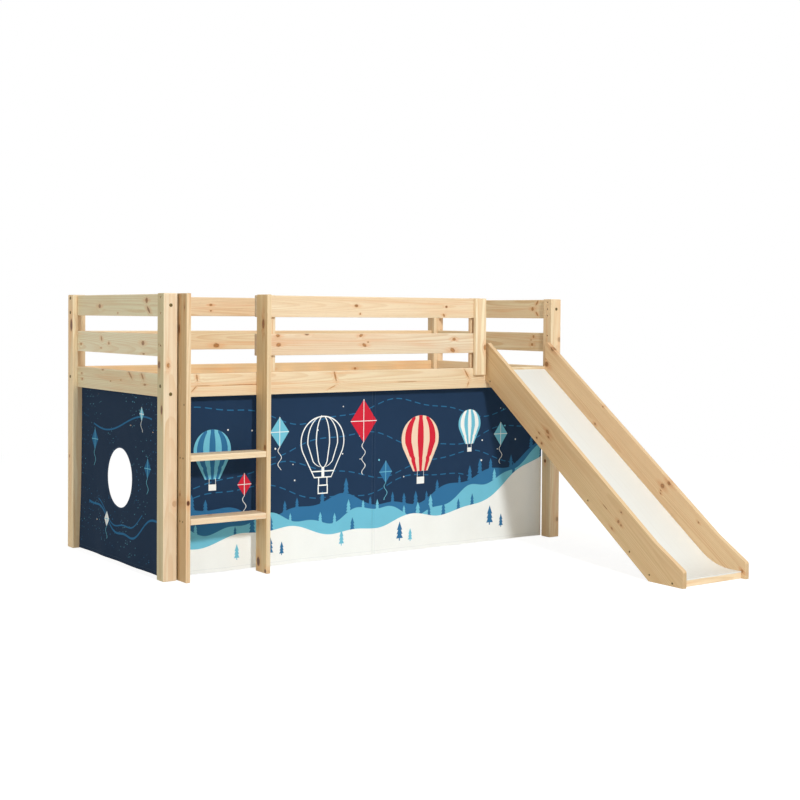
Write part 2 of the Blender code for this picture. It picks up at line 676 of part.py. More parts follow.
def build_fasteners(posts, end_rails, long_rails):
    """Bolt the rails to the posts where the heads show, and drill the holes left free."""
    group = make_group("fasteners")
    meshes = fastener_meshes("frame_bolt", BOLT_HEAD_RADIUS, BOLT_HEAD_HEIGHT, BOLT_SHANK_RADIUS,
                             BOLT_LENGTH)
    top_middle = (TOP_RAIL_TOP + TOP_RAIL_BOTTOM) / 2
    middle_middle = (MIDDLE_RAIL_TOP + MIDDLE_RAIL_BOTTOM) / 2
    side_middle = (SIDE_RAIL_TOP + SIDE_RAIL_BOTTOM) / 2
    upper_pair = top_middle + PAIR_SPACING / 2
    lower_pair = top_middle - PAIR_SPACING / 2

    front_left = posts["post_front_left"]
    front_right = posts["post_front_right"]
    rear_left = posts["post_rear_left"]
    front = (0, -1, 0)
    outer = (-1, 0, 0)
    left_x = LEFT + POST_CENTRE
    right_x = RIGHT - POST_CENTRE
    fasten("bolt_left_end_top", meshes, (left_x, FRONT, top_middle), front,
           (front_left, end_rails["left_end_top_rail"]), group)
    fasten("bolt_left_end_lower", meshes, (left_x, FRONT, side_middle - LOWER_BOLT_DROP), front,
           (front_left, end_rails["left_end_lower_rail"]), group)
    fasten("bolt_right_end_top", meshes, (right_x, FRONT, top_middle), front,
           (front_right, end_rails["right_end_top_rail"]), group)
    fasten("bolt_front_side_rail", meshes, (LEFT, FRONT + POST_CENTRE, side_middle), outer,
           (front_left, long_rails["front_side_rail"]), group)
    fasten("bolt_rear_side_rail", meshes, (LEFT, BACK - POST_CENTRE, side_middle), outer,
           (rear_left, long_rails["rear_side_rail"]), group)
    rear_top = long_rails["rear_guard_top_rail"]
    fasten("bolt_rear_guard_upper", meshes, (LEFT, BACK - POST_CENTRE, upper_pair), outer,
           (rear_left, rear_top), group)
    fasten("bolt_rear_guard_lower", meshes, (LEFT, BACK - POST_CENTRE, lower_pair), outer,
           (rear_left, rear_top), group)

    for label, height in (("upper", upper_pair), ("lower", lower_pair), ("middle", middle_middle)):
        drill("free_hole_left_" + label, front_left, (LEFT, FRONT + POST_CENTRE, height), outer)
    inner_right = RIGHT - POST_SIDE
    for label, height in (("upper", upper_pair), ("centre", top_middle), ("lower", lower_pair),
                          ("middle", middle_middle + PAIR_SPACING / 2)):
        drill("free_hole_right_" + label, front_right, (inner_right, FRONT + POST_CENTRE, height),
              outer)


for leftover in list(bpy.data.objects):
    bpy.data.objects.remove(leftover)

PARTS = make_collection(COLLECTION_NAME)
CUTTERS = make_collection("cutters")

PINE = make_material("pine", srgb(236, 208, 166), 0.5)
SLIDE_PINE = make_material("slide_pine", srgb(208, 173, 128), 0.5)
SLAT_PINE = make_material("slat_pine", srgb(228, 198, 155), 0.6)
LAMINATE = make_material("white_laminate", srgb(238, 236, 226), 0.25)
COTTON = make_material("printed_cotton", srgb(36, 58, 86), 0.9)
STEEL = make_material("bronzed_steel", srgb(92, 70, 44), 0.4, 0.8)

corner_posts = build_posts()
end_frame_rails = build_end_frames()
long_side_rails = build_long_rails()
build_front_guard()
build_ladder()
build_slide()
build_base()
build_curtains()
build_fasteners(corner_posts, end_frame_rails, long_side_rails)
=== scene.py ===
"""Looks of a loft bed with a slide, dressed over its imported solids.

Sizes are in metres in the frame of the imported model: X runs along the bed, Y from the slide to
the back and Z up from the floor, with the origin on the floor under the middle of the whole.
"""

import logging
import math
import random
from collections.abc import Callable
from dataclasses import dataclass
from enum import Enum
from functools import reduce

import bmesh
import bpy
from mathutils import Matrix, Vector, noise


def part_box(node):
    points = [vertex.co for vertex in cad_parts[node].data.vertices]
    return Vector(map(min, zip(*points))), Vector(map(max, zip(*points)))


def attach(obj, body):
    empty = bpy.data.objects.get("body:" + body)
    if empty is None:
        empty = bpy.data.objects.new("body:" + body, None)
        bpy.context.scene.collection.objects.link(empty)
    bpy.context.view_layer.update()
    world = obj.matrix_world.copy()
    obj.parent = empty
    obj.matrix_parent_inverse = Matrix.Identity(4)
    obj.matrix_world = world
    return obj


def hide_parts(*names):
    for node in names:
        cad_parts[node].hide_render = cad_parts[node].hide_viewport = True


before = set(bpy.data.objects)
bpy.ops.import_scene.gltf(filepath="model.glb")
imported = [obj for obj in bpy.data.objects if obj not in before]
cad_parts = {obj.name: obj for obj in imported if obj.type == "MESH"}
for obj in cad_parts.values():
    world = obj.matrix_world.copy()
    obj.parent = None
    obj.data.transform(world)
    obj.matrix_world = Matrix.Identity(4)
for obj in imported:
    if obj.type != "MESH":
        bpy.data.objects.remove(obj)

LOG = logging.getLogger("loft_bed")
BODY = "root"

Socket = bpy.types.NodeSocket
Feed = Socket | float | tuple[float, ...]
Point = tuple[float, float, float]
Shade = tuple[float, float, float]


def tone(red: float, green: float, blue: float) -> tuple[float, float, float, float]:
    """Turn a colour as a screen shows it, 0 to 255, into the linear one that shaders take.

    Args:
        red: Red from 0 to 255.
        green: Green from 0 to 255.
        blue: Blue from 0 to 255.

    Returns:
        The linear colour with full alpha.
    """
    def line(level: float) -> float:
        """Return the linear value of one channel."""
        share = level / 255
        return share / 12.92 if share <= 0.04045 else ((share + 0.055) / 1.055) ** 2.4

    return line(red), line(green), line(blue), 1.0


def deselect_all() -> None:
    """Leave nothing selected, so that the next operator acts on its own piece alone."""
    bpy.ops.object.select_all(action="DESELECT")


class Bench:
    """Adds, sets and links the nodes of one material or node group."""

    def __init__(self, tree: bpy.types.NodeTree) -> None:
        """Work on a node tree."""
        self.tree = tree

    def add(self, kind: str, **settings: object) -> bpy.types.Node:
        """Add a node.

        Args:
            kind: The node's type name.
            **settings: Values for the node's own properties.

        Returns:
            The node.
        """
        node = self.tree.nodes.new(kind)
        for name, value in settings.items():
            setattr(node, name, value)
        return node

    def feed(self, socket: Socket, value: Feed) -> None:
        """Link a socket into another, or set its plain value.

        Args:
            socket: The socket that is fed.
            value: What feeds it.
        """
        if isinstance(value, bpy.types.NodeSocket):
            self.tree.links.new(value, socket)
        else:
            socket.default_value = value

    def result(self, node: bpy.types.Node, *values: Feed) -> Socket:
        """Feed a node's first inputs in their order.

        Args:
            node: The node.
            *values: What feeds them.

        Returns:
            The node's first output.
        """
        for socket, value in zip(node.inputs, values):
            self.feed(socket, value)
        return node.outputs[0]

    def named(self, node: bpy.types.Node, **values: Feed) -> bpy.types.Node:
        """Feed a node's inputs by their names.

        Args:
            node: The node.
            **values: What feeds them, with _ for a space in a name.

        Returns:
            The node.
        """
        for name, value in values.items():
            self.feed(node.inputs[name.replace("_", " ")], value)
        return node

    def use(self, group: bpy.types.NodeTree, **values: Feed) -> bpy.types.Node:
        """Place a node group, fed by its inputs' names, and return its node."""
        return self.named(self.add("ShaderNodeGroup", node_tree=group), **values)

    def math(self, operation: str, *values: Feed) -> Socket:
        """Return the result of a Math node with one to three inputs."""
        return self.result(self.add("ShaderNodeMath", operation=operation), *values)

    def plus(self, first: Feed, second: Feed) -> Socket:
        """Return the sum of two numbers."""
        return self.math("ADD", first, second)

    def minus(self, first: Feed, second: Feed) -> Socket:
        """Return the first number less the second."""
        return self.math("SUBTRACT", first, second)

    def times(self, first: Feed, second: Feed) -> Socket:
        """Return the product of two numbers."""
        return self.math("MULTIPLY", first, second)

    def scaled(self, value: Feed, factor: Feed, offset: Feed) -> Socket:
        """Return a number times a factor, plus an offset."""
        return self.math("MULTIPLY_ADD", value, factor, offset)

    def least(self, first: Feed, second: Feed) -> Socket:
        """Return the smaller of two numbers."""
        return self.math("MINIMUM", first, second)

    def most(self, first: Feed, second: Feed) -> Socket:
        """Return the larger of two numbers."""
        return self.math("MAXIMUM", first, second)

    def size_of(self, value: Feed) -> Socket:
        """Return a number without its sign."""
        return self.math("ABSOLUTE", value)

    def grade(self, share: Feed, first: float, second: float) -> Socket:
        """Return a number that goes from first to second as share goes from 0 to 1."""
        return self.scaled(share, second - first, first)

    def step(self, value: Feed, low: float, high: float) -> Socket:
        """Make a mask that rises smoothly from 0 at low to 1 at high.

        Args:
            value: The number that it rises with.
            low: Where it is 0.
            high: Where it is 1, which may be the lesser of the two.

        Returns:
            The mask's socket.
        """
        node = self.add("ShaderNodeMapRange", interpolation_type="SMOOTHSTEP")
        ends = (low, high, 0.0, 1.0) if low < high else (high, low, 1.0, 0.0)
        return self.result(node, value, *ends)

    def vector(self, operation: str, *values: Feed) -> Socket:
        """Add a Vector Math node.

        Args:
            operation: The operation's name.
            *values: Its inputs, each a vector or a socket.

        Returns:
            The number for a length or a dot product, and otherwise the vector.
        """
        node = self.add("ShaderNodeVectorMath", operation=operation)
        self.result(node, *values)
        return node.outputs["Value" if operation in ("LENGTH", "DOT_PRODUCT") else "Vector"]

    def split(self, place: Socket) -> tuple[Socket, Socket, Socket]:
        """Return the three numbers of a vector."""
        node = self.named(self.add("ShaderNodeSeparateXYZ"), Vector=place)
        return node.outputs[0], node.outputs[1], node.outputs[2]

    def join(self, first: Feed, second: Feed, third: Feed = 0.0) -> Socket:
        """Return the vector of three numbers."""
        return self.result(self.add("ShaderNodeCombineXYZ"), first, second, third)

    def mix(self, share: Feed, first: Feed, second: Feed, way: str = "MIX") -> Socket:
        """Mix two colours.

        Args:
            share: How much of the second is taken.
            first: The colour below.
            second: The colour above.
            way: The blend type.

        Returns:
            The mixed colour's socket.
        """
        node = self.add("ShaderNodeMix", data_type="RGBA", blend_type=way)
        # A Mix node has sockets for every type of data, and these are the ones for colours.
        self.feed(node.inputs[0], share)
        self.feed(node.inputs[6], first)
        self.feed(node.inputs[7], second)
        return node.outputs[2]

    def shaded(self, colour: Feed, level: Socket) -> Socket:
        """Return a colour made lighter or darker by a number."""
        return self.mix(1.0, colour, self.join(level, level, level), "MULTIPLY")

    def cloud(self, place: Feed, stretch: Point, detail: float = 2.0,
              rough: float = 0.5) -> Socket:
        """Make noise from 0 to 1 at a place.

        Args:
            place: The place's vector, in metres.
            stretch: Patches per metre along each axis.
            detail: Octaves beyond the first.
            rough: How strong the finer octaves are.

        Returns:
            The noise's socket.
        """
        node = self.add("ShaderNodeTexNoise", noise_dimensions="3D")
        spot = self.vector("MULTIPLY", place, stretch)
        return self.named(node, Vector=spot, Scale=1.0, Detail=detail,
                          Roughness=rough).outputs["Fac"]


class GroupPlan:
    """A shader node group under construction."""

    KINDS = {"vector": "NodeSocketVector", "number": "NodeSocketFloat",
             "colour": "NodeSocketColor"}

    def __init__(self, name: str, inputs: dict[str, str], outputs: dict[str, str]) -> None:
        """Start a group.

        Args:
            name: The group's name.
            inputs: The names of the inputs of each kind.
            outputs: The names of the outputs of each kind.
        """
        self.tree = bpy.data.node_groups.new(name, "ShaderNodeTree")
        for side, sockets in (("INPUT", inputs), ("OUTPUT", outputs)):
            for kind, labels in sockets.items():
                for label in labels.split(", "):
                    self.tree.interface.new_socket(label, in_out=side,
                                                   socket_type=self.KINDS[kind])
        self.bench = Bench(self.tree)
        self.inputs = self.bench.add("NodeGroupInput").outputs
        self.end = self.bench.add("NodeGroupOutput")

    def done(self, **results: Feed) -> bpy.types.NodeTree:
        """Feed the group's outputs by their names, and return the group."""
        self.bench.named(self.end, **results)
        return self.tree


class MaterialPlan:
    """A material under construction, with its Principled shader and its surface place."""

    def __init__(self, name: str) -> None:
        """Start a material.

        Args:
            name: The material's name.
        """
        self.material = bpy.data.materials.new(name)
        self.material.use_nodes = True
        tree = self.material.node_tree
        tree.nodes.clear()
        self.bench = Bench(tree)
        self.shader = self.bench.add("ShaderNodeBsdfPrincipled")
        output = self.bench.add("ShaderNodeOutputMaterial")
        tree.links.new(self.shader.outputs[0], output.inputs["Surface"])

    def coat(self, **values: Feed) -> None:
        """Feed the shader's own inputs by their names."""
        self.bench.named(self.shader, **values)

    def place(self, turn: Matrix | None = None, centre: Vector | None = None) -> Socket:
        """Return the surface's place in a piece's own directions.

        Args:
            turn: A matrix whose rows are the piece's directions.
            centre: The piece's middle.

        Returns:
            The place's socket, in metres.
        """
        spot = self.bench.add("ShaderNodeTexCoord").outputs["Object"]
        if turn is None:
            return spot
        mapping = self.bench.add("ShaderNodeMapping", vector_type="POINT")
        return self.bench.named(mapping, Vector=spot, Location=-(turn @ centre),
                                Rotation=turn.to_euler("XYZ")).outputs[0]

    def bump(self, height: Socket, depth: float, strength: float) -> None:
        """Give the shader a relief.

        Args:
            height: The relief, from 0 to 1.
            depth: Its depth in metres.
            strength: How strongly it shows.
        """
        node = self.bench.named(self.bench.add("ShaderNodeBump"), Distance=depth,
                                Strength=strength, Height=height)
        self.coat(Normal=node.outputs["Normal"])


class Effects:
    """The node groups that several materials share, each built once."""

    _made: dict[str, bpy.types.NodeTree] = {}

    @classmethod
    def get(cls, name: str) -> bpy.types.NodeTree:
        """Return a group by name, building it the first time.

        Args:
            name: The group's name here.

        Returns:
            The group.
        """
        builders = {"knot": cls._knot, "arris": cls._arris, "grain": cls._grain,
                    "weave": cls._weave, "stitches": cls._stitches}
        if name not in cls._made:
            cls._made[name] = builders[name]()
        return cls._made[name]

    @staticmethod
    def _knot() -> bpy.types.NodeTree:
        """Build the group that adds one knot: nearness, flare, bend of the grain, and dark heart.

        Returns:
            The group.
        """
        plan = GroupPlan("pine_knot",
                         {"vector": "Board, Centre, Per Radius",
                          "number": "Radius, Lean, Fade, Dark, Nearness, Flare, Bend, Heart"},
                         {"number": "Nearness, Flare, Bend, Heart"})
        bench, given = plan.bench, plan.inputs
        offset = bench.vector("SUBTRACT", given["Board"], given["Centre"])
        along, across, deep = bench.split(offset)
        along = bench.scaled(across, given["Lean"], along)
        offset = bench.join(along, across, deep)
        scaled = bench.vector("MULTIPLY", offset, given["Per Radius"])
        distance = bench.vector("LENGTH", scaled)
        # The flush round a knot reaches further along the grain than the knot does.
        drawn_out = bench.vector("LENGTH", bench.vector("MULTIPLY", scaled, (0.42, 1.0, 1.0)))
        fall = bench.math("EXPONENT", bench.times(bench.times(distance, distance), -0.22))
        push = bench.times(fall, given["Radius"])
        near = bench.least(given["Nearness"], bench.plus(distance, given["Fade"]))
        flare = bench.least(given["Flare"], bench.plus(drawn_out, given["Fade"]))
        dark = bench.times(given["Dark"], bench.step(distance, 1.40, 0.62))
        return plan.done(Nearness=near, Flare=flare, Bend=bench.plus(given["Bend"], push),
                         Heart=bench.most(given["Heart"], dark))

    @staticmethod
    def _arris() -> bpy.types.NodeTree:
        """Build the group that marks the rounded edges of a board from how squarely it faces.

        Returns:
            The group.
        """
        plan = GroupPlan("sanded_and_highlit_edge", {"number": "Squareness"}, {"number": "Edge"})
        bench, squareness = plan.bench, plan.inputs["Squareness"]
        return plan.done(Edge=bench.times(bench.step(squareness, 0.10, 0.24),
                                          bench.step(squareness, 0.995, 0.955)))

    @staticmethod
    def _grain() -> bpy.types.NodeTree:
        """Build the group that paints pine: growth rings, streaks, fibres, knots and end grain.

        Returns:
            The group.
        """
        plan = GroupPlan("pine_grain",
                         {"vector": "Board, Pith",
                          "number": "Seed, Ring Width, Nearness, Flare, Bend, Heart, End, Figure",
                          "colour": "Early, Late, Blush, Flame, Knot, Knot Core"},
                         {"colour": "Color", "number": "Roughness, Height"})
        bench, given = plan.bench, plan.inputs
        board = given["Board"]
        shift = bench.join(*(bench.times(given["Seed"], part) for part in (7.31, 3.17, 5.73)))
        spot = bench.vector("ADD", board, shift)

        # The growth rings, by their distance from the pith, which wanders and bends at knots.
        along, across, deep = bench.split(board)
        tilt, pith_across, pith_deep = bench.split(given["Pith"])
        drift = bench.cloud(spot, (0.9, 2.6, 2.6), 1.0)
        ripple = bench.cloud(spot, (1.4, 15.0, 15.0), 2.0)
        sideways = bench.minus(across, pith_across)
        inwards = bench.minus(deep, bench.scaled(along, tilt, pith_deep))
        radius = bench.vector("LENGTH", bench.join(sideways, inwards))
        radius = bench.plus(radius, bench.grade(drift, -0.017, 0.017))
        radius = bench.plus(radius, bench.grade(ripple, -0.003, 0.003))
        radius = bench.plus(radius, given["Bend"])
        rings = bench.math("DIVIDE", radius, given["Ring Width"])
        year = bench.math("FRACT", rings)
        late = bench.times(bench.step(year, 0.30, 0.90), bench.step(year, 1.0, 0.93))
        vigour = bench.cloud(bench.join(bench.math("FLOOR", rings), given["Seed"]),
                             (0.73, 1.0, 1.0), 0.0)
        late = bench.times(late, bench.grade(vigour, 0.35, 1.25))

        # The finer figure, all drawn out along the grain.
        streak = bench.cloud(spot, (1.6, 58.0, 58.0), 3.0, 0.6)
        fibre = bench.cloud(spot, (16.0, 620.0, 620.0), 2.0, 0.6)
        patch = bench.cloud(spot, (1.3, 9.0, 9.0), 1.5)
        flame = bench.cloud(bench.vector("ADD", spot, (5.3, 1.7, 9.1)), (1.9, 30.0, 30.0), 2.5,
                            0.55)
        hair = bench.cloud(bench.vector("ADD", spot, (2.9, 8.3, 4.1)), (2.6, 210.0, 210.0), 2.0)
        dash = bench.step(bench.cloud(spot, (55.0, 900.0, 900.0), 0.0), 0.70, 0.78)

        # The clear wood, darker on its ends.
        mark = bench.times(late, bench.grade(given["End"], 0.72, 0.90))
        colour = bench.mix(mark, given["Early"], given["Late"])
        colour = bench.mix(bench.times(bench.step(streak, 0.40, 0.74), 0.50), colour,
                           given["Late"])
        colour = bench.mix(bench.times(bench.step(patch, 0.38, 0.68), 0.50), colour,
                           given["Blush"])
        flushed = bench.times(bench.step(flame, 0.52, 0.70),
                              bench.grade(bench.step(hair, 0.30, 0.66), 0.25, 0.80))
        flushed = bench.times(flushed, given["Figure"])
        colour = bench.mix(flushed, colour, given["Flame"])
        colour = bench.mix(bench.times(bench.step(hair, 0.60, 0.74), 0.34), colour, given["Late"])
        shade = bench.plus(bench.grade(fibre, 0.945, 1.055), bench.grade(dash, 0.0, -0.10))
        shade = bench.times(shade, bench.grade(given["End"], 1.0, 0.86))
        colour = bench.shaded(colour, shade)

        # The knots: the flush round them, their body, their ringed core and their dark rim.
        edge_noise = bench.cloud(spot, (160.0, 220.0, 220.0), 2.0)
        near = bench.plus(given["Nearness"], bench.grade(edge_noise, -0.25, 0.25))
        flare = bench.plus(given["Flare"], bench.grade(edge_noise, -0.45, 0.45))
        halo = bench.times(bench.step(flare, 2.3, 0.8),
                           bench.grade(bench.step(hair, 0.34, 0.62), 0.40, 0.86))
        colour = bench.mix(halo, colour, given["Flame"])
        ember = bench.step(near, 1.75, 0.95)
        colour = bench.mix(bench.times(ember, 0.34), colour, given["Knot"])
        core = bench.step(near, 1.14, 0.82)
        annual = bench.math("SINE", bench.times(near, 15.0))
        mottle = bench.step(bench.cloud(spot, (190.0, 260.0, 260.0), 1.0), 0.36, 0.66)
        heart = bench.mix(bench.times(mottle, bench.grade(annual, 0.42, 0.86)), given["Knot"],
                          given["Knot Core"])
        colour = bench.mix(bench.times(core, 0.92), colour, heart)
        rim = bench.times(bench.step(near, 0.72, 0.96), bench.step(near, 1.22, 1.0))
        rim = bench.times(rim, bench.grade(mottle, 0.55, 1.0))
        colour = bench.mix(bench.times(rim, 0.55), colour, given["Knot Core"])
        dimmed = bench.join(*(bench.grade(given["Heart"], 1.0, low) for low in (0.28, 0.15, 0.0)))
        colour = bench.mix(1.0, colour, dimmed, "MULTIPLY")

        # The lacquer, glossier over late wood and knots, and the relief of the grain.
        rough = bench.plus(bench.grade(fibre, 0.47, 0.60), bench.times(late, -0.06))
        rough = bench.plus(rough, bench.times(given["End"], 0.16))
        rough = bench.plus(rough, bench.times(core, -0.10))

        height = bench.plus(bench.times(fibre, 0.55), bench.times(late, 0.30))
        height = bench.plus(height, bench.times(dash, -0.45))
        height = bench.plus(height, bench.times(rim, -0.60))
        return plan.done(Color=colour, Roughness=rough, Height=height)

    @staticmethod
    def _weave() -> bpy.types.NodeTree:
        """Build the group of a plain weave on a cloth's own map, with slubs and soft creases.

        Returns:
            The group.
        """
        plan = GroupPlan("cotton_weave", {"vector": "Cloth", "number": "Pitch"},
                         {"number": "Tone, Height"})
        bench, given = plan.bench, plan.inputs
        across, up, _ = bench.split(given["Cloth"])
        turns = bench.math("DIVIDE", 2 * math.pi, given["Pitch"])
        warp = bench.math("SINE", bench.times(across, turns))
        weft = bench.math("SINE", bench.times(up, turns))
        cross = bench.times(warp, weft)
        slub = bench.cloud(given["Cloth"], (70.0, 700.0, 1.0), 2.0)
        nap = bench.cloud(given["Cloth"], (9.0, 7.0, 1.0), 3.0)
        pale = bench.plus(bench.grade(slub, 0.965, 1.035), bench.grade(nap, -0.05, 0.05))
        height = bench.plus(bench.grade(cross, 0.5, 1.0), bench.times(slub, 0.8))
        return plan.done(Tone=bench.plus(pale, bench.times(cross, 0.02)), Height=height)

    @staticmethod
    def _stitches() -> bpy.types.NodeTree:
        """Build the group of the stitch lines at the hem, the heading and the sides of a cloth.

        Returns:
            The group.
        """
        plan = GroupPlan("stitch_lines", {"vector": "Cloth", "number": "Start, Width, Length"},
                         {"number": "Stitch"})
        bench, given = plan.bench, plan.inputs
        across, up, _ = bench.split(given["Cloth"])
        along = bench.minus(across, given["Start"])
        per_metre = 310.0
        # How far in from the hem, the heading and the sides the lines of stitches run.
        from_hem, from_heading, from_side = 0.014, (0.003, 0.019), 0.007

        def dashes(value: Socket) -> Socket:
            """Return the mask of the stitches along a line."""
            return bench.step(bench.math("FRACT", bench.times(value, per_metre)), 0.72, 0.66)

        def line(value: Socket, at: Feed) -> Socket:
            """Return the mask of a thin line where a value is at a number."""
            return bench.step(bench.size_of(bench.minus(value, at)), 0.0007, 0.0003)

        upper, lower = (line(up, bench.minus(given["Length"], inset)) for inset in from_heading)
        level = bench.most(line(up, from_hem), bench.most(upper, lower))
        side = bench.most(line(along, from_side),
                          line(along, bench.minus(given["Width"], from_side)))
        return plan.done(Stitch=bench.most(bench.times(level, dashes(along)),
                                           bench.times(side, dashes(up))))


class Lay(Enum):
    """Which way the grain of a board runs: its grain, its width and its thickness."""

    ALONG_BED = ((1, 0, 0), (0, 0, 1), (0, -1, 0))
    ALONG_END = ((0, 1, 0), (0, 0, 1), (1, 0, 0))
    UPRIGHT = ((0, 0, 1), (1, 0, 0), (0, 1, 0))
    UPRIGHT_ON_EDGE = ((0, 0, 1), (0, 1, 0), (-1, 0, 0))
    FLAT_ALONG_BED = ((1, 0, 0), (0, 1, 0), (0, 0, 1))
    FLAT_ALONG_END = ((0, 1, 0), (-1, 0, 0), (0, 0, 1))
    DOWN_SLIDE = ((0, -0.80903, -0.58777), (0, -0.58777, 0.80903), (-1, 0, 0))

    @property
    def turn(self) -> Matrix:
        """The matrix whose rows are the board's three directions."""
        return Matrix(self.value)


@dataclass(frozen=True)
class Knot:
    """A knot by its place on a face, its radius, its length along the grain, and its lean.

    A fade of 1 leaves only the flush round it, and dark is how much its heart is darkened.
    """

    x: float
    y: float
    z: float
    radius: float
    stretch: float = 1.35
    lean: float = 0.0
    fade: float = 0.0
    dark: float = 0.0

    def wire(self, bench: Bench, board: Socket, turn: Matrix, centre: Vector, half: Vector,
             so_far: tuple[Feed, ...]) -> tuple[Feed, ...]:
        """Add the knot to a board's material.

        Args:
            bench: Where the nodes go.
            board: The place in the board.
            turn: The board's directions.
            centre: The board's middle.
            half: The board's half sizes.
            so_far: How near the knots before it are, their flare, how they bend the grain, and
                their dark hearts.

        Returns:
            The same four with this knot.
        """
        spot = turn @ (Vector((self.x, self.y, self.z)) - centre)
        for axis in (1, 2):
            spot[axis] = max(-half[axis], min(half[axis], spot[axis]))
        from_side = half.y - abs(spot.y) < half.z - abs(spot.z)
        inwards = 0.6 / max(2.2 * (half.y if from_side else half.z), self.radius)
        across = 1 / self.radius
        sides = (inwards, across) if from_side else (across, inwards)
        push = min(self.radius, 1.4 * self.radius * self.stretch) * max(0.0, 1 - self.fade)
        near, flare, bend, heart = so_far
        ring = bench.use(Effects.get("knot"), Board=board, Centre=tuple(spot),
                         Per_Radius=(1 / (self.radius * self.stretch), *sides), Radius=push,
                         Lean=self.lean, Fade=self.fade, Dark=self.dark, Nearness=near,
                         Flare=flare, Bend=bend, Heart=heart)
        return tuple(ring.outputs)

    @staticmethod
    def at_x(x: float, *rows: tuple[float, ...]) -> tuple["Knot", ...]:
        """Return a face's knots, a row for each: its Y and Z, its radius and what else it has."""
        return tuple(Knot(x, *row) for row in rows)

    @staticmethod
    def at_y(y: float, *rows: tuple[float, ...]) -> tuple["Knot", ...]:
        """Return a face's knots, a row for each: its X and Z, its radius and what else it has."""
        return tuple(Knot(first, y, *rest) for first, *rest in rows)


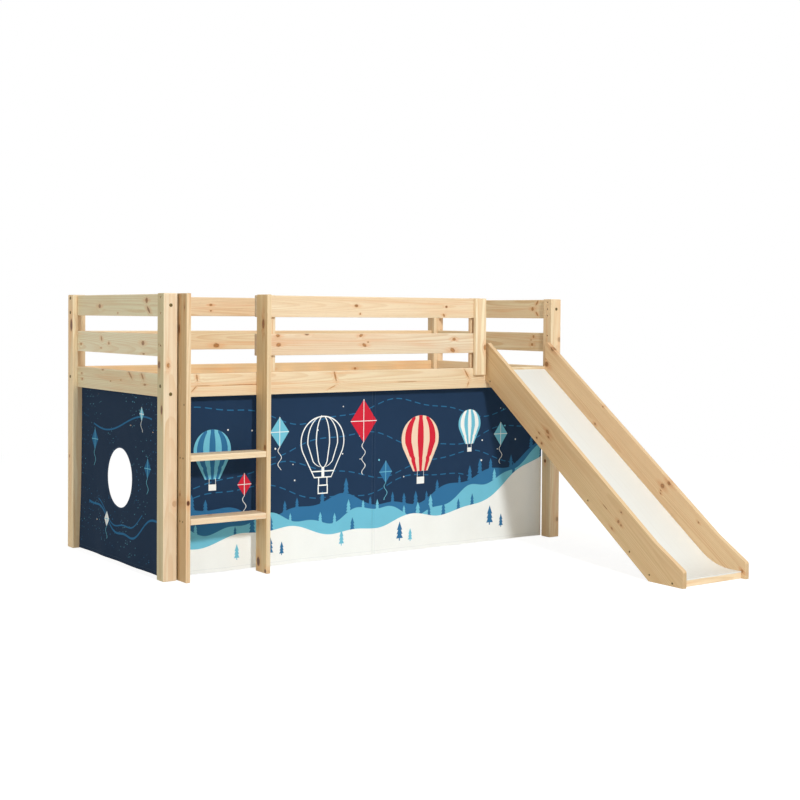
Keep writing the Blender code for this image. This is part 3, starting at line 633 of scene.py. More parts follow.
# The knots that show, by their boards.
KNOTS: dict[str, tuple[Knot, ...]] = {
    "post_front_left": Knot.at_y(0.111, (-1.019, 0.855, 0.007, 1.2), (-0.992, 0.307, 0.008, 1.3))
        + Knot.at_x(-1.04, (0.153, 0.856, 0.009, 1.3, 0, -0.15, 0.5),
        (0.129, 0.679, 0.0066, 2.2, 0, -0.15, 0.72), (0.155, 0.937, 0.003, 1)),
    "post_rear_left": Knot.at_x(-1.04, (1.063, 1.004, 0.0098, 2.4, 0, -0.1, 1),
        (1.081, 0.413, 0.005, 1.3)),
    "left_end_top_rail": Knot.at_x(-1.019, (0.792, 1.089, 0.0066, 1.5, 0, -0.1, 0.45),
        (0.315, 1.112, 0.0085, 1.1, 0, -0.1, 0.42), (0.297, 1.074, 0.011, 0.7, -0.9, -0.1, 0.55),
        (0.6, 1.06, 0.003, 1.2)),
    "left_end_middle_rail": Knot.at_x(-1.019, (0.772, 0.949, 0.011, 0.65, -0.4, 0.2),
        (0.693, 0.93, 0.0055, 1.3), (0.349, 0.938, 0.008, 1.5, 0, 0, 0.3),
        (1.001, 0.92, 0.0055, 1.3), (0.777, 0.908, 0.0035, 1.3),
        (0.343, 0.894, 0.0045, 3, 0, 0.35)),
    "left_end_lower_rail": Knot.at_x(-1.019, (0.473, 0.803, 0.017, 0.55, -1.14, 0.3),
        (0.354, 0.802, 0.017, 0.55, -0.75, 0.35), (0.758, 0.818, 0.006, 1.6),
        (0.33, 0.769, 0.0045, 3.2, 0, 0.3), (0.674, 0.769, 0.0035, 1.6, 0, 0.3),
        (0.567, 0.778, 0.0035, 1.6, 0, 0.3), (0.991, 0.791, 0.004, 1.3),
        (0.987, 0.765, 0.0045, 1.5)),
    "ladder_left_upright": Knot.at_x(-0.975, (0.107, 0.999, 0.008, 2.6, 0, 0.25),
        (0.096, 0.345, 0.004, 1.3))
        + Knot.at_x(-0.966, (0.042, 0.315, 0.0062, 1.4, 0, 0, 1))
        + Knot.at_x(-0.975, (0.062, 1.085, 0.012, 3, 0, 0.9)),
    "ladder_right_upright": Knot.at_x(-0.613, (0.076, 1.02, 0.0085, 2), (0.057, 0.516, 0.006, 1.6),
        (0.108, 0.042, 0.0102, 1.5, 0, -0.1, 0.95), (0.05, 0.01, 0.0062, 1.2, 0, 0, 0.85)),
    "rear_guard_top_rail": Knot.at_x(-0.339, (1.064, 1.101, 0.0045, 1.5),
        (1.064, 1.073, 0.0035, 1)),
    "rear_guard_middle_rail": Knot.at_x(-0.309, (1.064, 0.907, 0.009, 1.5)),
    "rear_side_rail": Knot.at_y(1.064, (0.49, 0.783, 0.005, 1.2), (0.002, 0.788, 0.006, 1.2)),
    "front_side_rail": Knot.at_y(0.132, (-0.884, 0.803, 0.019, 0.22, 0.12, 0.38),
        (-0.897, 0.758, 0.0175, 0.22, -0.98, 0.48), (-0.856, 0.77, 0.0014, 26, 0, 0.2),
        (-0.68, 0.77, 0.0015, 55), (-0.227, 0.796, 0.027, 0.2, 0.26, 0.33),
        (-0.243, 0.749, 0.012, 0.45, -2.2, 0.5), (0.151, 0.764, 0.0014, 38, -0.1, 0.1),
        (0.486, 0.793, 0.025, 0.2, 0.64, 0.4), (0.495, 0.746, 0.017, 0.22, -0.34, 0.6),
        (-0.96, 0.785, 0.009, 2.5, 0, 0.9)),
    "front_guard_top_rail": Knot.at_y(0.132, (-0.121, 1.098, 0.005, 1.6, 0, 0, 0.3),
        (-0.101, 1.063, 0.004, 0.8), (0.353, 1.059, 0.006, 0.8, 0.4),
        (0.367, 1.098, 0.0045, 1.2, 0, 0, 0.62)),
    "front_guard_middle_rail": Knot.at_y(0.132, (-0.511, 0.971, 0.006, 1.3),
        (-0.508, 0.932, 0.007, 1.4), (-0.37, 0.985, 0.0058, 1.6, 0, 0, 0.8),
        (-0.096, 0.97, 0.006, 1.2, -0.5), (-0.078, 0.928, 0.007, 1.2, 0.5),
        (-0.059, 0.941, 0.003, 1), (0.412, 0.951, 0.006, 1.3), (0.404, 0.902, 0.009, 1.2, 0.4)),
    "front_guard_outer_post": Knot.at_x(0.577, (0.112, 0.913, 0.008, 1.3)),
    "post_front_right": Knot.at_y(0.111, (1.031, 0.947, 0.0076, 1.3, 0, -0.1, 0.85),
        (1.028, 0.085, 0.007, 1.3, 0, -0.1, 0.75))
        + Knot.at_x(0.98, (0.143, 0.83, 0.007, 1.2, 0, 0, 0.4),
        (0.147, 0.364, 0.0062, 1.2, 0, 0, 0.85)),
    "post_rear_right": Knot.at_y(1.043, (1.018, 1.034, 0.004, 1), (1.025, 0.975, 0.004, 1.5)),
    "right_end_top_rail": Knot.at_x(1.001, (0.24, 1.122, 0.01, 0.5, 0.7),
        (0.273, 1.093, 0.008, 0.9), (0.24, 1.069, 0.009, 0.5, -0.7)),
    "right_end_middle_rail": Knot.at_x(1.001, (0.264, 0.959, 0.006, 1), (0.274, 0.92, 0.006, 1.2),
        (0.282, 0.942, 0.003, 1)),
    "slide_left_cheek": Knot.at_x(0.595, (-0.304, 0.555, 0.01, 1.6, 0, 0.42),
        (-0.31, 0.532, 0.007, 1.6, 0, 0.5), (-0.233, 0.523, 0.004, 1.2, 0, 0.1, 0.6),
        (-0.266, 0.501, 0.0065, 1.3, 0, 0.3), (-0.248, 0.545, 0.0045, 3.2, 0, 0.5),
        (-0.1, 0.61, 0.055, 4, 0, 1.45), (-0.33, 0.5, 0.03, 4, 0, 1.5),
        (-0.666, 0.269, 0.002, 9, 0, 0.2), (-0.76, 0.258, 0.0034, 1.2, 0, 0.1, 0.35),
        (-0.745, 0.218, 0.0085, 0.9, 0, 0.4), (-0.76, 0.205, 0.006, 1.1, 0, 0.45),
        (-0.707, 0.185, 0.005, 1.6, 0, 0.35)),
    "slide_right_cheek": Knot.at_x(0.958, (0.077, 0.905, 0.0115, 1.3, 0, 0.25),
        (0.117, 0.83, 0.0105, 1.1, 0, 0.05, 0.25), (0.123, 0.854, 0.003, 1.1, 0, 0.2),
        (-0.218, 0.569, 0.0045, 1.2, 0, 0.15), (-0.268, 0.65, 0.0045, 1.2, 0, 0.4),
        (-0.641, 0.33, 0.01, 1.1, 0, 0.15), (-0.679, 0.345, 0.01, 1.2, 0, 0.3),
        (-0.696, 0.355, 0.006, 1, 0, 0.35), (-0.631, 0.309, 0.0028, 1.2),
        (-0.63, 0.296, 0.0032, 1.2), (-0.848, 0.198, 0.0045, 1.2, 0, 0.3),
        (-1.084, 0.031, 0.0055, 1.1)),
}


# How the colour of some boards leans, partly their own tone and partly painted light and shade on
# the
# faces that the lamps reach more or less: factors of red, green and blue for the faces across
# their thickness, and then for those across their width.
FACE_TINTS_AND_SHADE: dict[str, tuple[Point, Point]] = {
    "post_front_left": ((0.99, 1.0, 1.03), (0.87, 0.895, 0.84)),
    "post_rear_left": ((0.96, 0.96, 0.94), (1.0, 0.985, 0.94)),
    "post_front_right": ((1.0, 1.0, 1.0), (0.98, 0.96, 0.93)),
    "post_rear_right": ((1.0, 0.985, 0.98), (0.87, 0.87, 0.85)),
    "left_end_top_rail": ((0.97, 1.015, 1.01), (1.0, 1.0, 1.0)),
    "left_end_middle_rail": ((0.99, 1.045, 1.07), (1.0, 1.0, 1.0)),
    "left_end_lower_rail": ((0.955, 0.985, 0.97), (1.0, 1.0, 1.0)),
    "right_end_top_rail": ((0.955, 0.965, 0.955), (1.0, 1.0, 1.0)),
    "right_end_middle_rail": ((0.955, 0.965, 0.955), (1.0, 1.0, 1.0)),
    "rear_side_rail": ((1.01, 0.96, 0.905), (1.01, 0.96, 0.905)),
    "rear_guard_top_rail": ((1.015, 0.98, 0.965), (1.015, 0.98, 0.965)),
    "rear_guard_middle_rail": ((1.02, 1.01, 1.0), (1.02, 1.01, 1.0)),
    "ladder_left_upright": ((0.84, 0.82, 0.78), (0.95, 0.94, 0.95)),
    "ladder_right_upright": ((0.99, 0.98, 0.93), (0.985, 1.0, 1.02)),
    "ladder_lower_rung": ((1.03, 1.02, 1.03), (1.01, 1.01, 1.03)),
    "front_guard_top_rail": ((0.965, 0.97, 0.985), (0.965, 0.97, 0.985)),
    "front_guard_middle_rail": ((0.97, 0.97, 1.0), (0.97, 0.97, 1.0)),
    "slide_left_cheek": ((0.935, 0.93, 0.90), (1.0, 1.0, 1.0)),
}

# The boards with little figure: how much of their batch's figure they have.
CALM: dict[str, float] = {"post_front_left": 0.35, "left_end_top_rail": 0.30}


@dataclass(frozen=True)
class PineFinish:
    """Clear-lacquered pine of one batch of boards."""

    name: str
    early: Shade
    late: Shade
    blush: Shade
    flame: Shade = (233, 184, 136)
    knot: Shade = (192, 132, 74)
    knot_core: Shade = (118, 72, 36)
    ring_width: float = 0.0046
    batch_spread: float = 0.026
    figure: float = 1.0
    gloss: float = 0.4
    relief: float = 0.00025
    edge_paleness_and_highlight: float = 0.30
    wear: float = 0.30
    lamina_contrast: float = 0.45
    seam_darkness: float = 0.35

    # Half the width of a glue line, where it is gone and where it is full.
    SEAM = (0.0009, 0.0003)
    # How near, how flared, how bent and how dark a board is before its first knot.
    CLEAR = (9.0, 9.0, 0.0, 0.0)
    # What these factors of tint and painted shade are raised to, because they are written as a
    # screen shows them.
    GAMMA = 2.2

    def board(self, node: str, lay: Lay, glue_line: float | None = None,
              stray_knots: int = 1) -> None:
        """Make the material of one board and put it on its CAD node.

        Args:
            node: The board's CAD node.
            lay: Which way its grain runs.
            glue_line: Where two laminations meet, across the board, from its middle.
            stray_knots: How many knots it gets at places of their own, if KNOTS gives it none.
        """
        plan = MaterialPlan(f"{self.name}_{node}")
        knots = list(KNOTS.get(node, ()))
        self._paint(plan, node, lay, knots, glue_line, 0 if knots else stray_knots)
        put_on_node(node, plan.material)

    @staticmethod
    def _extent(node: str, turn: Matrix) -> tuple[Vector, Vector]:
        """Measure a board.

        Args:
            node: The board's CAD node.
            turn: Its directions.

        Returns:
            Its middle, and its half sizes along its own directions.
        """
        spots = [turn @ vertex.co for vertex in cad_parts[node].data.vertices]
        low = Vector(min(spot[axis] for spot in spots) for axis in range(3))
        high = Vector(max(spot[axis] for spot in spots) for axis in range(3))
        return turn.transposed() @ ((low + high) / 2), (high - low) / 2

    def _paint(self, plan: MaterialPlan, node: str, lay: Lay, knots: list[Knot],
               glue_line: float | None, stray_knots: int) -> None:
        """Wire a board's material.

        Args:
            plan: The material under construction.
            node: The board's name, from which its chance values come.
            lay: Which way its grain runs.
            knots: The knots in its faces.
            glue_line: Where two laminations meet, or None.
            stray_knots: How many more knots it gets.
        """
        chance = random.Random(f"{self.name}:{node}")
        bench = plan.bench
        turn = lay.turn
        centre, half = self._extent(node, turn)
        board = plan.place(turn, centre)
        for _ in range(stray_knots):
            spot = centre + turn.transposed() @ Vector(
                (chance.uniform(-0.9, 0.9) * half.x, chance.uniform(-0.8, 0.8) * half.y, half.z))
            knots.append(Knot(*spot, radius=chance.uniform(0.003, 0.008)))

        so_far: tuple[Feed, ...] = self.CLEAR
        for knot in knots:
            so_far = knot.wire(bench, board, turn, centre, half, so_far)
        near, flare, bend, heart = so_far

        seed: Feed = chance.uniform(0, 40)
        pith = (chance.uniform(-0.022, 0.022), chance.uniform(-0.9, 0.9) * half.y,
                half.z + chance.uniform(0.022, 0.075))
        lamina: Feed = 0.0
        if glue_line is not None:
            _, across, _ = bench.split(board)
            lamina = bench.math("GREATER_THAN", across, glue_line)
            seed = bench.scaled(lamina, 13.7, seed)

        facing = bench.add("ShaderNodeNewGeometry").outputs["Normal"]
        lengthways, sidelong, squareness = (
            bench.size_of(bench.vector("DOT_PRODUCT", facing, tuple(way))) for way in turn)
        end = bench.step(lengthways, 0.55, 0.95)
        depth_of_tone = 1 + chance.uniform(-1, 1) * self.batch_spread
        early, late, blush, flame = (self._tinted(shade, depth_of_tone)
                                     for shade in (self.early, self.late, self.blush, self.flame))
        grain = bench.use(Effects.get("grain"), Board=board, Seed=seed, Pith=pith,
                          Ring_Width=self.ring_width * chance.uniform(0.8, 1.35),
                          Nearness=near, Flare=flare, Bend=bend, Heart=heart, End=end,
                          Figure=self.figure * CALM.get(node, 1.0), Early=early, Late=late,
                          Blush=blush, Flame=flame, Knot=tone(*self.knot),
                          Knot_Core=tone(*self.knot_core))
        colour = grain.outputs["Color"]
        if glue_line is not None:
            colour = bench.mix(bench.times(lamina, self.lamina_contrast), colour, blush)
            seam = bench.step(bench.size_of(bench.minus(across, glue_line)), *self.SEAM)
            colour = bench.mix(bench.times(seam, self.seam_darkness), colour, tone(*self.late))

        # Faces get their own factors, partly wood tone and partly painted light and shade.
        if node in FACE_TINTS_AND_SHADE:
            flat, side = ([factor ** self.GAMMA for factor in tint_and_shade] for tint_and_shade in FACE_TINTS_AND_SHADE[node])
            tint_and_shade = bench.mix(bench.step(sidelong, 0.5, 0.9), (*flat, 1), (*side, 1))
            colour = bench.mix(1.0, colour, tint_and_shade, "MULTIPLY")
        edge = bench.use(Effects.get("arris"), Squareness=squareness).outputs["Edge"]
        worn = bench.cloud(board, (22.0, 90.0, 90.0), 2.0)
        # The rounded edges are paler, partly as sanded wood and partly as a painted highlight.
        colour = bench.mix(bench.times(edge, self.edge_paleness_and_highlight), colour,
                           self._tinted(self.early, 1.04))
        rubbed = bench.times(edge, bench.step(worn, 0.56, 0.72))
        colour = bench.mix(bench.times(rubbed, self.wear), colour, tone(*self.flame))
        plan.coat(Base_Color=colour, Specular_IOR_Level=self.gloss,
                  Roughness=bench.scaled(edge, -0.08, grain.outputs["Roughness"]))
        plan.bump(grain.outputs["Height"], self.relief, 0.35)

    @staticmethod
    def _tinted(colour: Shade, share: float) -> tuple[float, float, float, float]:
        """Return a colour made lighter or darker by a share."""
        red, green, blue = (min(255.0, level * share) for level in colour)
        return tone(red, green, blue)


def put_on_node(node: str, material: bpy.types.Material) -> None:
    """Give a CAD node one material and report it.

    Args:
        node: The CAD node.
        material: Its material.
    """
    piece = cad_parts[node]
    piece.data.materials.clear()
    piece.data.materials.append(material)
    LOG.info("%s wears %s", node, material.name)


@dataclass(frozen=True)
class LaminateFinish:
    """White laminated board of the sliding surface, a little scuffed down its middle."""

    name: str = "white_laminate"
    colour: Shade = (234, 235, 232)
    scuff: Shade = (222, 219, 212)
    roughness: float = 0.30

    def board(self, node: str) -> None:
        """Make the laminate and put it on its CAD node.

        Args:
            node: The CAD node.
        """
        low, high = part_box(node)
        plan = MaterialPlan(self.name)
        bench = plan.bench
        board = plan.place(Lay.DOWN_SLIDE.turn, (low + high) / 2)
        mottle = bench.cloud(board, (6.0, 6.0, 6.0), 2.0)
        streak = bench.cloud(board, (2.0, 120.0, 120.0), 3.0, 0.65)
        scratch = bench.step(bench.cloud(board, (3.0, 420.0, 420.0), 1.0), 0.66, 0.72)
        _, _, sideways = bench.split(board)
        tread = bench.step(bench.size_of(sideways), 0.150, 0.050)
        worn = bench.times(tread, bench.step(streak, 0.46, 0.70))
        colour = bench.mix(bench.times(mottle, 0.10), tone(*self.colour), tone(*self.scuff))
        colour = bench.mix(bench.times(worn, 0.22), colour, tone(*self.scuff))
        rough = bench.scaled(worn, 0.16, self.roughness)
        plan.coat(Base_Color=colour, Roughness=bench.scaled(scratch, 0.12, rough))
        plan.bump(bench.scaled(scratch, -0.6, mottle), 0.00012, 0.15)
        put_on_node(node, plan.material)


@dataclass(frozen=True)
class SteelFinish:
    """Bronzed steel of the bolts and screws."""

    slot: str = "bronzed_steel"
    name: str = "bronzed_steel_of_heads"
    colour: Shade = (120, 102, 58)
    tarnish: Shade = (92, 76, 40)
    roughness: float = 0.45
    metallic: float = 0.45

    def material(self) -> bpy.types.Material:
        """Make the steel, or return it if it is there already.

        Returns:
            The material.
        """
        if self.name in bpy.data.materials:
            return bpy.data.materials[self.name]
        plan = MaterialPlan(self.name)
        bench = plan.bench
        spot = plan.place()
        cloud = bench.cloud(spot, (420.0, 420.0, 420.0), 3.0, 0.6)
        grit = bench.cloud(spot, (1900.0, 1900.0, 1900.0), 1.0)
        colour = bench.mix(bench.step(cloud, 0.35, 0.70), tone(*self.colour), tone(*self.tarnish))
        plan.coat(Base_Color=colour, Metallic=self.metallic,
                  Roughness=bench.scaled(cloud, 0.28, self.roughness - 0.10))
        plan.bump(grit, 0.00005, 0.3)
        return plan.material


class Print(Enum):
    """Which print a curtain carries."""

    VALLEY = "valley"
    SPRIGS = "sprigs"


@dataclass(frozen=True)
class Roll:
    """A rolling line of a print: its mean height, its swells and how it climbs at the right.

    Each swell is a height, a length and a start.
    """

    level: float
    swells: tuple[tuple[float, float, float], ...]
    climb: float = 0.0

    # Where along the cloth a line that climbs starts to, and where it is up.
    CLIMB_SPAN = (1.30, 2.05)


class PrintBench:
    """Draws flat shapes over each other on a cloth's own map, in metres."""

    EDGE = 0.0006
    # Each tier of a fir: its top, its foot and its slope, by the fir's height.
    TIERS = ((0.0, 0.56, 0.36), (0.22, 0.34, 0.40), (0.44, 0.12, 0.46))
    # A balloon's skirt by its radius: its slope, its half width level with the middle of the
    # dome, and how far under that it starts and ends.
    SKIRT = (0.52, 1.127, 0.461, 1.42)

    def __init__(self, bench: Bench, cloth: Socket, ground: Feed) -> None:
        """Start a print.

        Args:
            bench: Where the nodes go.
            cloth: The place on the cloth: along it, and up from its hem.
            ground: The cloth's own colour.
        """
        self.bench = bench
        self.cloth = cloth
        self.along, self.up, _ = bench.split(cloth)
        self.colour = ground

    def inside(self, distance: Feed) -> Socket:
        """Return the mask of a shape from its signed distance, which is below 0 inside."""
        return self.bench.step(distance, self.EDGE, -self.EDGE)

    def lay(self, mask: Feed, colour: Shade) -> None:
        """Lay a colour over the print where the mask is 1."""
        self.colour = self.bench.mix(mask, self.colour, tone(*colour))

    def both(self, *masks: Feed) -> Feed:
        """Return where all masks are 1."""
        return reduce(self.bench.times, masks)

    def from_point(self, u: float, v: float) -> tuple[Socket, Socket]:
        """Return how far right of and above a point the cloth's place is."""
        return self.bench.minus(self.along, u), self.bench.minus(self.up, v)

    def disc(self, u: float, v: float, radius: float) -> Socket:
        """Return the signed distance to a disc."""
        offset = self.bench.vector("SUBTRACT", self.cloth, (u, v, 0.0))
        return self.bench.minus(self.bench.vector("LENGTH", offset), radius)

    def band(self, value: Feed, middle: float, half: float) -> Socket:
        """Return the signed distance to a band of values round a middle one."""
        return self.bench.minus(self.bench.size_of(self.bench.minus(value, middle)), half)

    def line(self, roll: Roll, along: Socket) -> Feed:
        """Draw a rolling line.

        Args:
            roll: The line.
            along: The place along the cloth.

        Returns:
            The line's height above the hem there.
        """
        bench = self.bench
        line: Feed = roll.level
        for height, length, start in roll.swells:
            turn = bench.scaled(along, 2 * math.pi / length, start)
            line = bench.scaled(bench.math("SINE", turn), height, line)
        if roll.climb:
            line = bench.scaled(bench.step(along, *roll.CLIMB_SPAN), roll.climb, line)
        return line

    def wave(self, roll: Roll) -> Socket:
        """Return the signed distance up to a rolling line, which is below 0 under it."""
        return self.bench.minus(self.up, self.line(roll, self.along))

    def dashes(self, length: float, share: float) -> Socket:
        """Return the mask of dashes along the cloth."""
        turn = self.bench.math("FRACT", self.bench.times(self.along, 1 / length))
        return self.bench.step(turn, share + 0.03, share)

    def stroke(self, roll: Roll, width: float, colour: Shade, dash: float,
               span: tuple[float, float]) -> None:
        """Lay a rolling line between two places along the cloth.

        Args:
            roll: The line.
            width: Its width.
            colour: Its colour.
            dash: The length of a dash and its gap, or 0 for none.
            span: Where it starts and ends.
        """
        bench = self.bench
        mask = self.inside(bench.minus(bench.size_of(self.wave(roll)), width / 2))
        middle, half = (span[0] + span[1]) / 2, (span[1] - span[0]) / 2
        near = bench.size_of(bench.minus(self.along, middle))
        mask = self.both(mask, bench.step(near, half, half - 0.004))
        self.lay(self.both(mask, self.dashes(dash, 0.6)) if dash else mask, colour)

    def hills(self, roll: Roll, colour: Shade) -> None:
        """Lay a colour over all that lies under a rolling line."""
        self.lay(self.inside(self.wave(roll)), colour)

    def pine(self, right: Socket, above: Socket, height: Feed) -> Socket:
        """Return the mask of a fir of three tiers and a stem.

        Args:
            right: How far right of its stem the cloth's place is.
            above: How far above its foot.
            height: Its height.

        Returns:
            The mask's socket.
        """
        bench = self.bench
        side = bench.size_of(right)
        drop = bench.minus(height, above)
        under = bench.times(above, -1.0)
        whole = bench.most(bench.scaled(height, -0.035, side),
                           bench.most(under, bench.scaled(height, -0.3, above)))
        for top, foot, slope in self.TIERS:
            crown = bench.scaled(bench.scaled(height, -top, drop), -slope, side)
            whole = bench.least(whole, bench.most(crown, bench.scaled(height, foot, under)))
        return self.inside(whole)

    def tree(self, u: float, v: float, height: float, colour: Shade) -> None:
        """Lay a fir that stands at a place."""
        self.lay(self.pine(*self.from_point(u, v), height), colour)

    def forest(self, roll: Roll, pitch: float, height: float, share: float, seed: float,
               colour: Shade) -> None:
        """Lay a row of firs along a rolling line.

        Args:
            roll: The line that they stand on.
            pitch: The distance from tree to tree.
            height: The height of the tallest.
            share: The share of places that hold a tree.
            seed: Picks the trees.
            colour: Their colour.
        """
        bench = self.bench
        cell = bench.math("FLOOR", bench.times(self.along, 1 / pitch))
        pick = bench.add("ShaderNodeTexWhiteNoise", noise_dimensions="1D")
        bench.named(pick, W=bench.plus(cell, seed))
        chance, size, _ = bench.split(pick.outputs["Color"])
        middle = bench.times(bench.plus(cell, 0.5), pitch)
        foot = bench.plus(self.line(roll, middle), -0.12 * height)
        fir = self.pine(bench.minus(self.along, middle), bench.minus(self.up, foot),
                        bench.grade(size, 0.55 * height, height))
        self.lay(self.both(fir, bench.math("LESS_THAN", chance, share)), colour)

    def tail(self, u: float, v: float, length: float, colour: Shade) -> None:
        """Lay the wavy tail that hangs from a place.

        Args:
            u: The place along the cloth.
            v: The place above the hem.
            length: The tail's length.
            colour: Its colour.
        """
        bench = self.bench
        right, above = self.from_point(u, v)
        sway = bench.math("SINE", bench.times(above, 2 * math.pi / 0.058))
        away = bench.minus(bench.size_of(bench.scaled(sway, -0.0085, right)), 0.0016)
        span = self.band(above, -length / 2, length / 2)
        self.lay(self.inside(bench.most(away, span)), colour)

    def kite(self, u: float, v: float, half_width: float, half_height: float, colour: Shade,
             spar: Shade) -> None:
        """Lay a diamond kite with its crossed spars and its tail.

        Args:
            u: Its middle's place along the cloth.
            v: Its middle's place above the hem.
            half_width: Half its width.
            half_height: Half its height.
            colour: Its colour.
            spar: The colour of its spars and its tail.
        """
        bench = self.bench
        side, rise = (bench.size_of(way) for way in self.from_point(u, v))
        edge = bench.scaled(side, half_height / half_width, rise)
        body = self.inside(bench.minus(edge, half_height))
        self.lay(body, colour)
        thin = bench.minus(bench.least(side, rise), 0.0014)
        self.lay(self.both(body, self.inside(thin)), spar)
        self.tail(u, v - half_height, 1.5 * half_height, spar)

    def hull(self, u: float, v: float, radius: float) -> tuple[Socket, Socket, Socket, Socket]:
        """Draw the hull of a balloon, a dome over a skirt.

        Args:
            u: The dome's middle along the cloth.
            v: The dome's middle above the hem.
            radius: The dome's radius.

        Returns:
            How far right of and above the dome's middle the place is, how far to its side, and
            the signed distance to the hull.
        """
        bench = self.bench
        right, above = self.from_point(u, v)
        side = bench.size_of(right)
        skirt = bench.minus(side, self.skirt(above, radius))
        _, _, start, end = self.SKIRT
        below = bench.most(bench.plus(above, radius * start), bench.minus(-radius * end, above))
        hull = bench.least(self.disc(u, v, radius), bench.most(skirt, below))
        return right, above, side, hull

    def skirt(self, above: Socket, radius: float) -> Socket:
        """Return the half width of a balloon's skirt at a height."""
        return self.bench.scaled(above, self.SKIRT[0], radius * self.SKIRT[1])

    def girth(self, above: Socket, radius: float, floor: float, skirt: Socket) -> Socket:
        """Return a balloon's half width at a height, from its dome's and its skirt's."""
        square = self.bench.minus(radius ** 2, self.bench.times(above, above))
        return self.bench.least(self.bench.math("SQRT", self.bench.most(square, floor)), skirt)

    def balloon(self, u: float, v: float, radius: float, colour: Shade, gore: Shade,
                basket: Shade) -> None:
        """Lay a hot-air balloon.

        Args:
            u: Its dome's middle along the cloth.
            v: Its dome's middle above the hem.
            radius: Its dome's radius.
            colour: The colour of its hull.
            gore: The colour of every other gore.
            basket: The colour of its basket and ropes.
        """
        bench = self.bench
        right, above, side, hull = self.hull(u, v, radius)
        body = self.inside(hull)
        self.lay(body, colour)
        girth = self.girth(above, radius * 1.05, (0.62 * radius) ** 2,
                           bench.most(self.skirt(above, radius), 0.001))
        stripes = bench.math("FRACT", bench.scaled(bench.math("DIVIDE", right, girth), 1.6, 0.25))
        self.lay(self.both(body, bench.math("LESS_THAN", stripes, 0.5)), gore)
        box = bench.most(bench.minus(side, radius * 0.20),
                         self.band(above, -radius * 1.82, radius * 0.15))
        ropes = bench.most(self.band(side, radius * 0.17, 0.0009),
                           self.band(above, -radius * 1.55, radius * 0.16))
        for part in (box, ropes):
            self.lay(self.inside(part), basket)

    def drawn_balloon(self, u: float, v: float, radius: float, width: float,
                      colour: Shade) -> None:
        """Lay the line drawing of a hot-air balloon.

        Args:
            u: Its dome's middle along the cloth.
            v: Its dome's middle above the hem.
            radius: Its dome's radius.
            width: The width of its strokes.
            colour: Their colour.
        """
        bench = self.bench
        _, above, side, hull = self.hull(u, v, radius)
        girth = self.girth(above, radius * 1.02, 0.00004,
                           bench.scaled(above, self.SKIRT[0], radius * 1.06))
        strokes = bench.size_of(hull)
        for share in (0.30, 0.68):
            gore = bench.size_of(bench.scaled(girth, -share, side))
            strokes = bench.least(strokes, bench.most(gore, hull))
        belt = bench.size_of(bench.plus(above, radius * 1.18))
        basket = bench.most(bench.minus(side, radius * 0.21),
                            self.band(above, -radius * 1.90, radius * 0.16))
        ropes = bench.most(bench.size_of(bench.minus(side, radius * 0.19)),
                           self.band(above, -radius * 1.58, radius * 0.16))
        for part in (bench.most(belt, hull), bench.size_of(basket), ropes):
            strokes = bench.least(strokes, part)
        self.lay(self.inside(bench.minus(strokes, width / 2)), colour)

    def dots(self, per_metre: float, radius: float, seed: float, share: float, colour: Shade,
             above: float, below: float, clusters: float = 0.0) -> None:
        """Scatter small dots over the cloth.

        Args:
            per_metre: Cells per metre.
            radius: The largest dot's radius.
            seed: Shifts the scatter.
            share: The share of cells that hold a dot.
            colour: The dots' colour.
            above: The height above the hem where they start.
            below: The height where they end.
            clusters: Clusters per metre, or 0 for an even scatter.
        """
        bench = self.bench
        cells = bench.named(bench.add("ShaderNodeTexVoronoi", voronoi_dimensions="2D",
                                      feature="F1"), Scale=per_metre, Randomness=0.9,
                            Vector=bench.vector("ADD", self.cloth, (seed, seed * 1.7, 0)))
        chance, size, _ = bench.split(cells.outputs["Color"])
        reach = bench.times(bench.grade(size, 0.4, 1.0), radius * per_metre)
        mask = bench.step(bench.minus(cells.outputs["Distance"], reach), self.EDGE * per_metre,
                          -self.EDGE * per_metre)
        mask = self.both(mask, bench.math("LESS_THAN", chance, share),
                         bench.math("GREATER_THAN", self.up, above),
                         bench.math("LESS_THAN", self.up, below))
        if clusters:
            crowd = bench.cloud(bench.vector("ADD", self.cloth, (seed, 2 * seed, 0)),
                                (clusters, clusters, 0.0), 1.0)
            mask = self.both(mask, bench.step(crowd, 0.50, 0.56))
        self.lay(mask, colour)


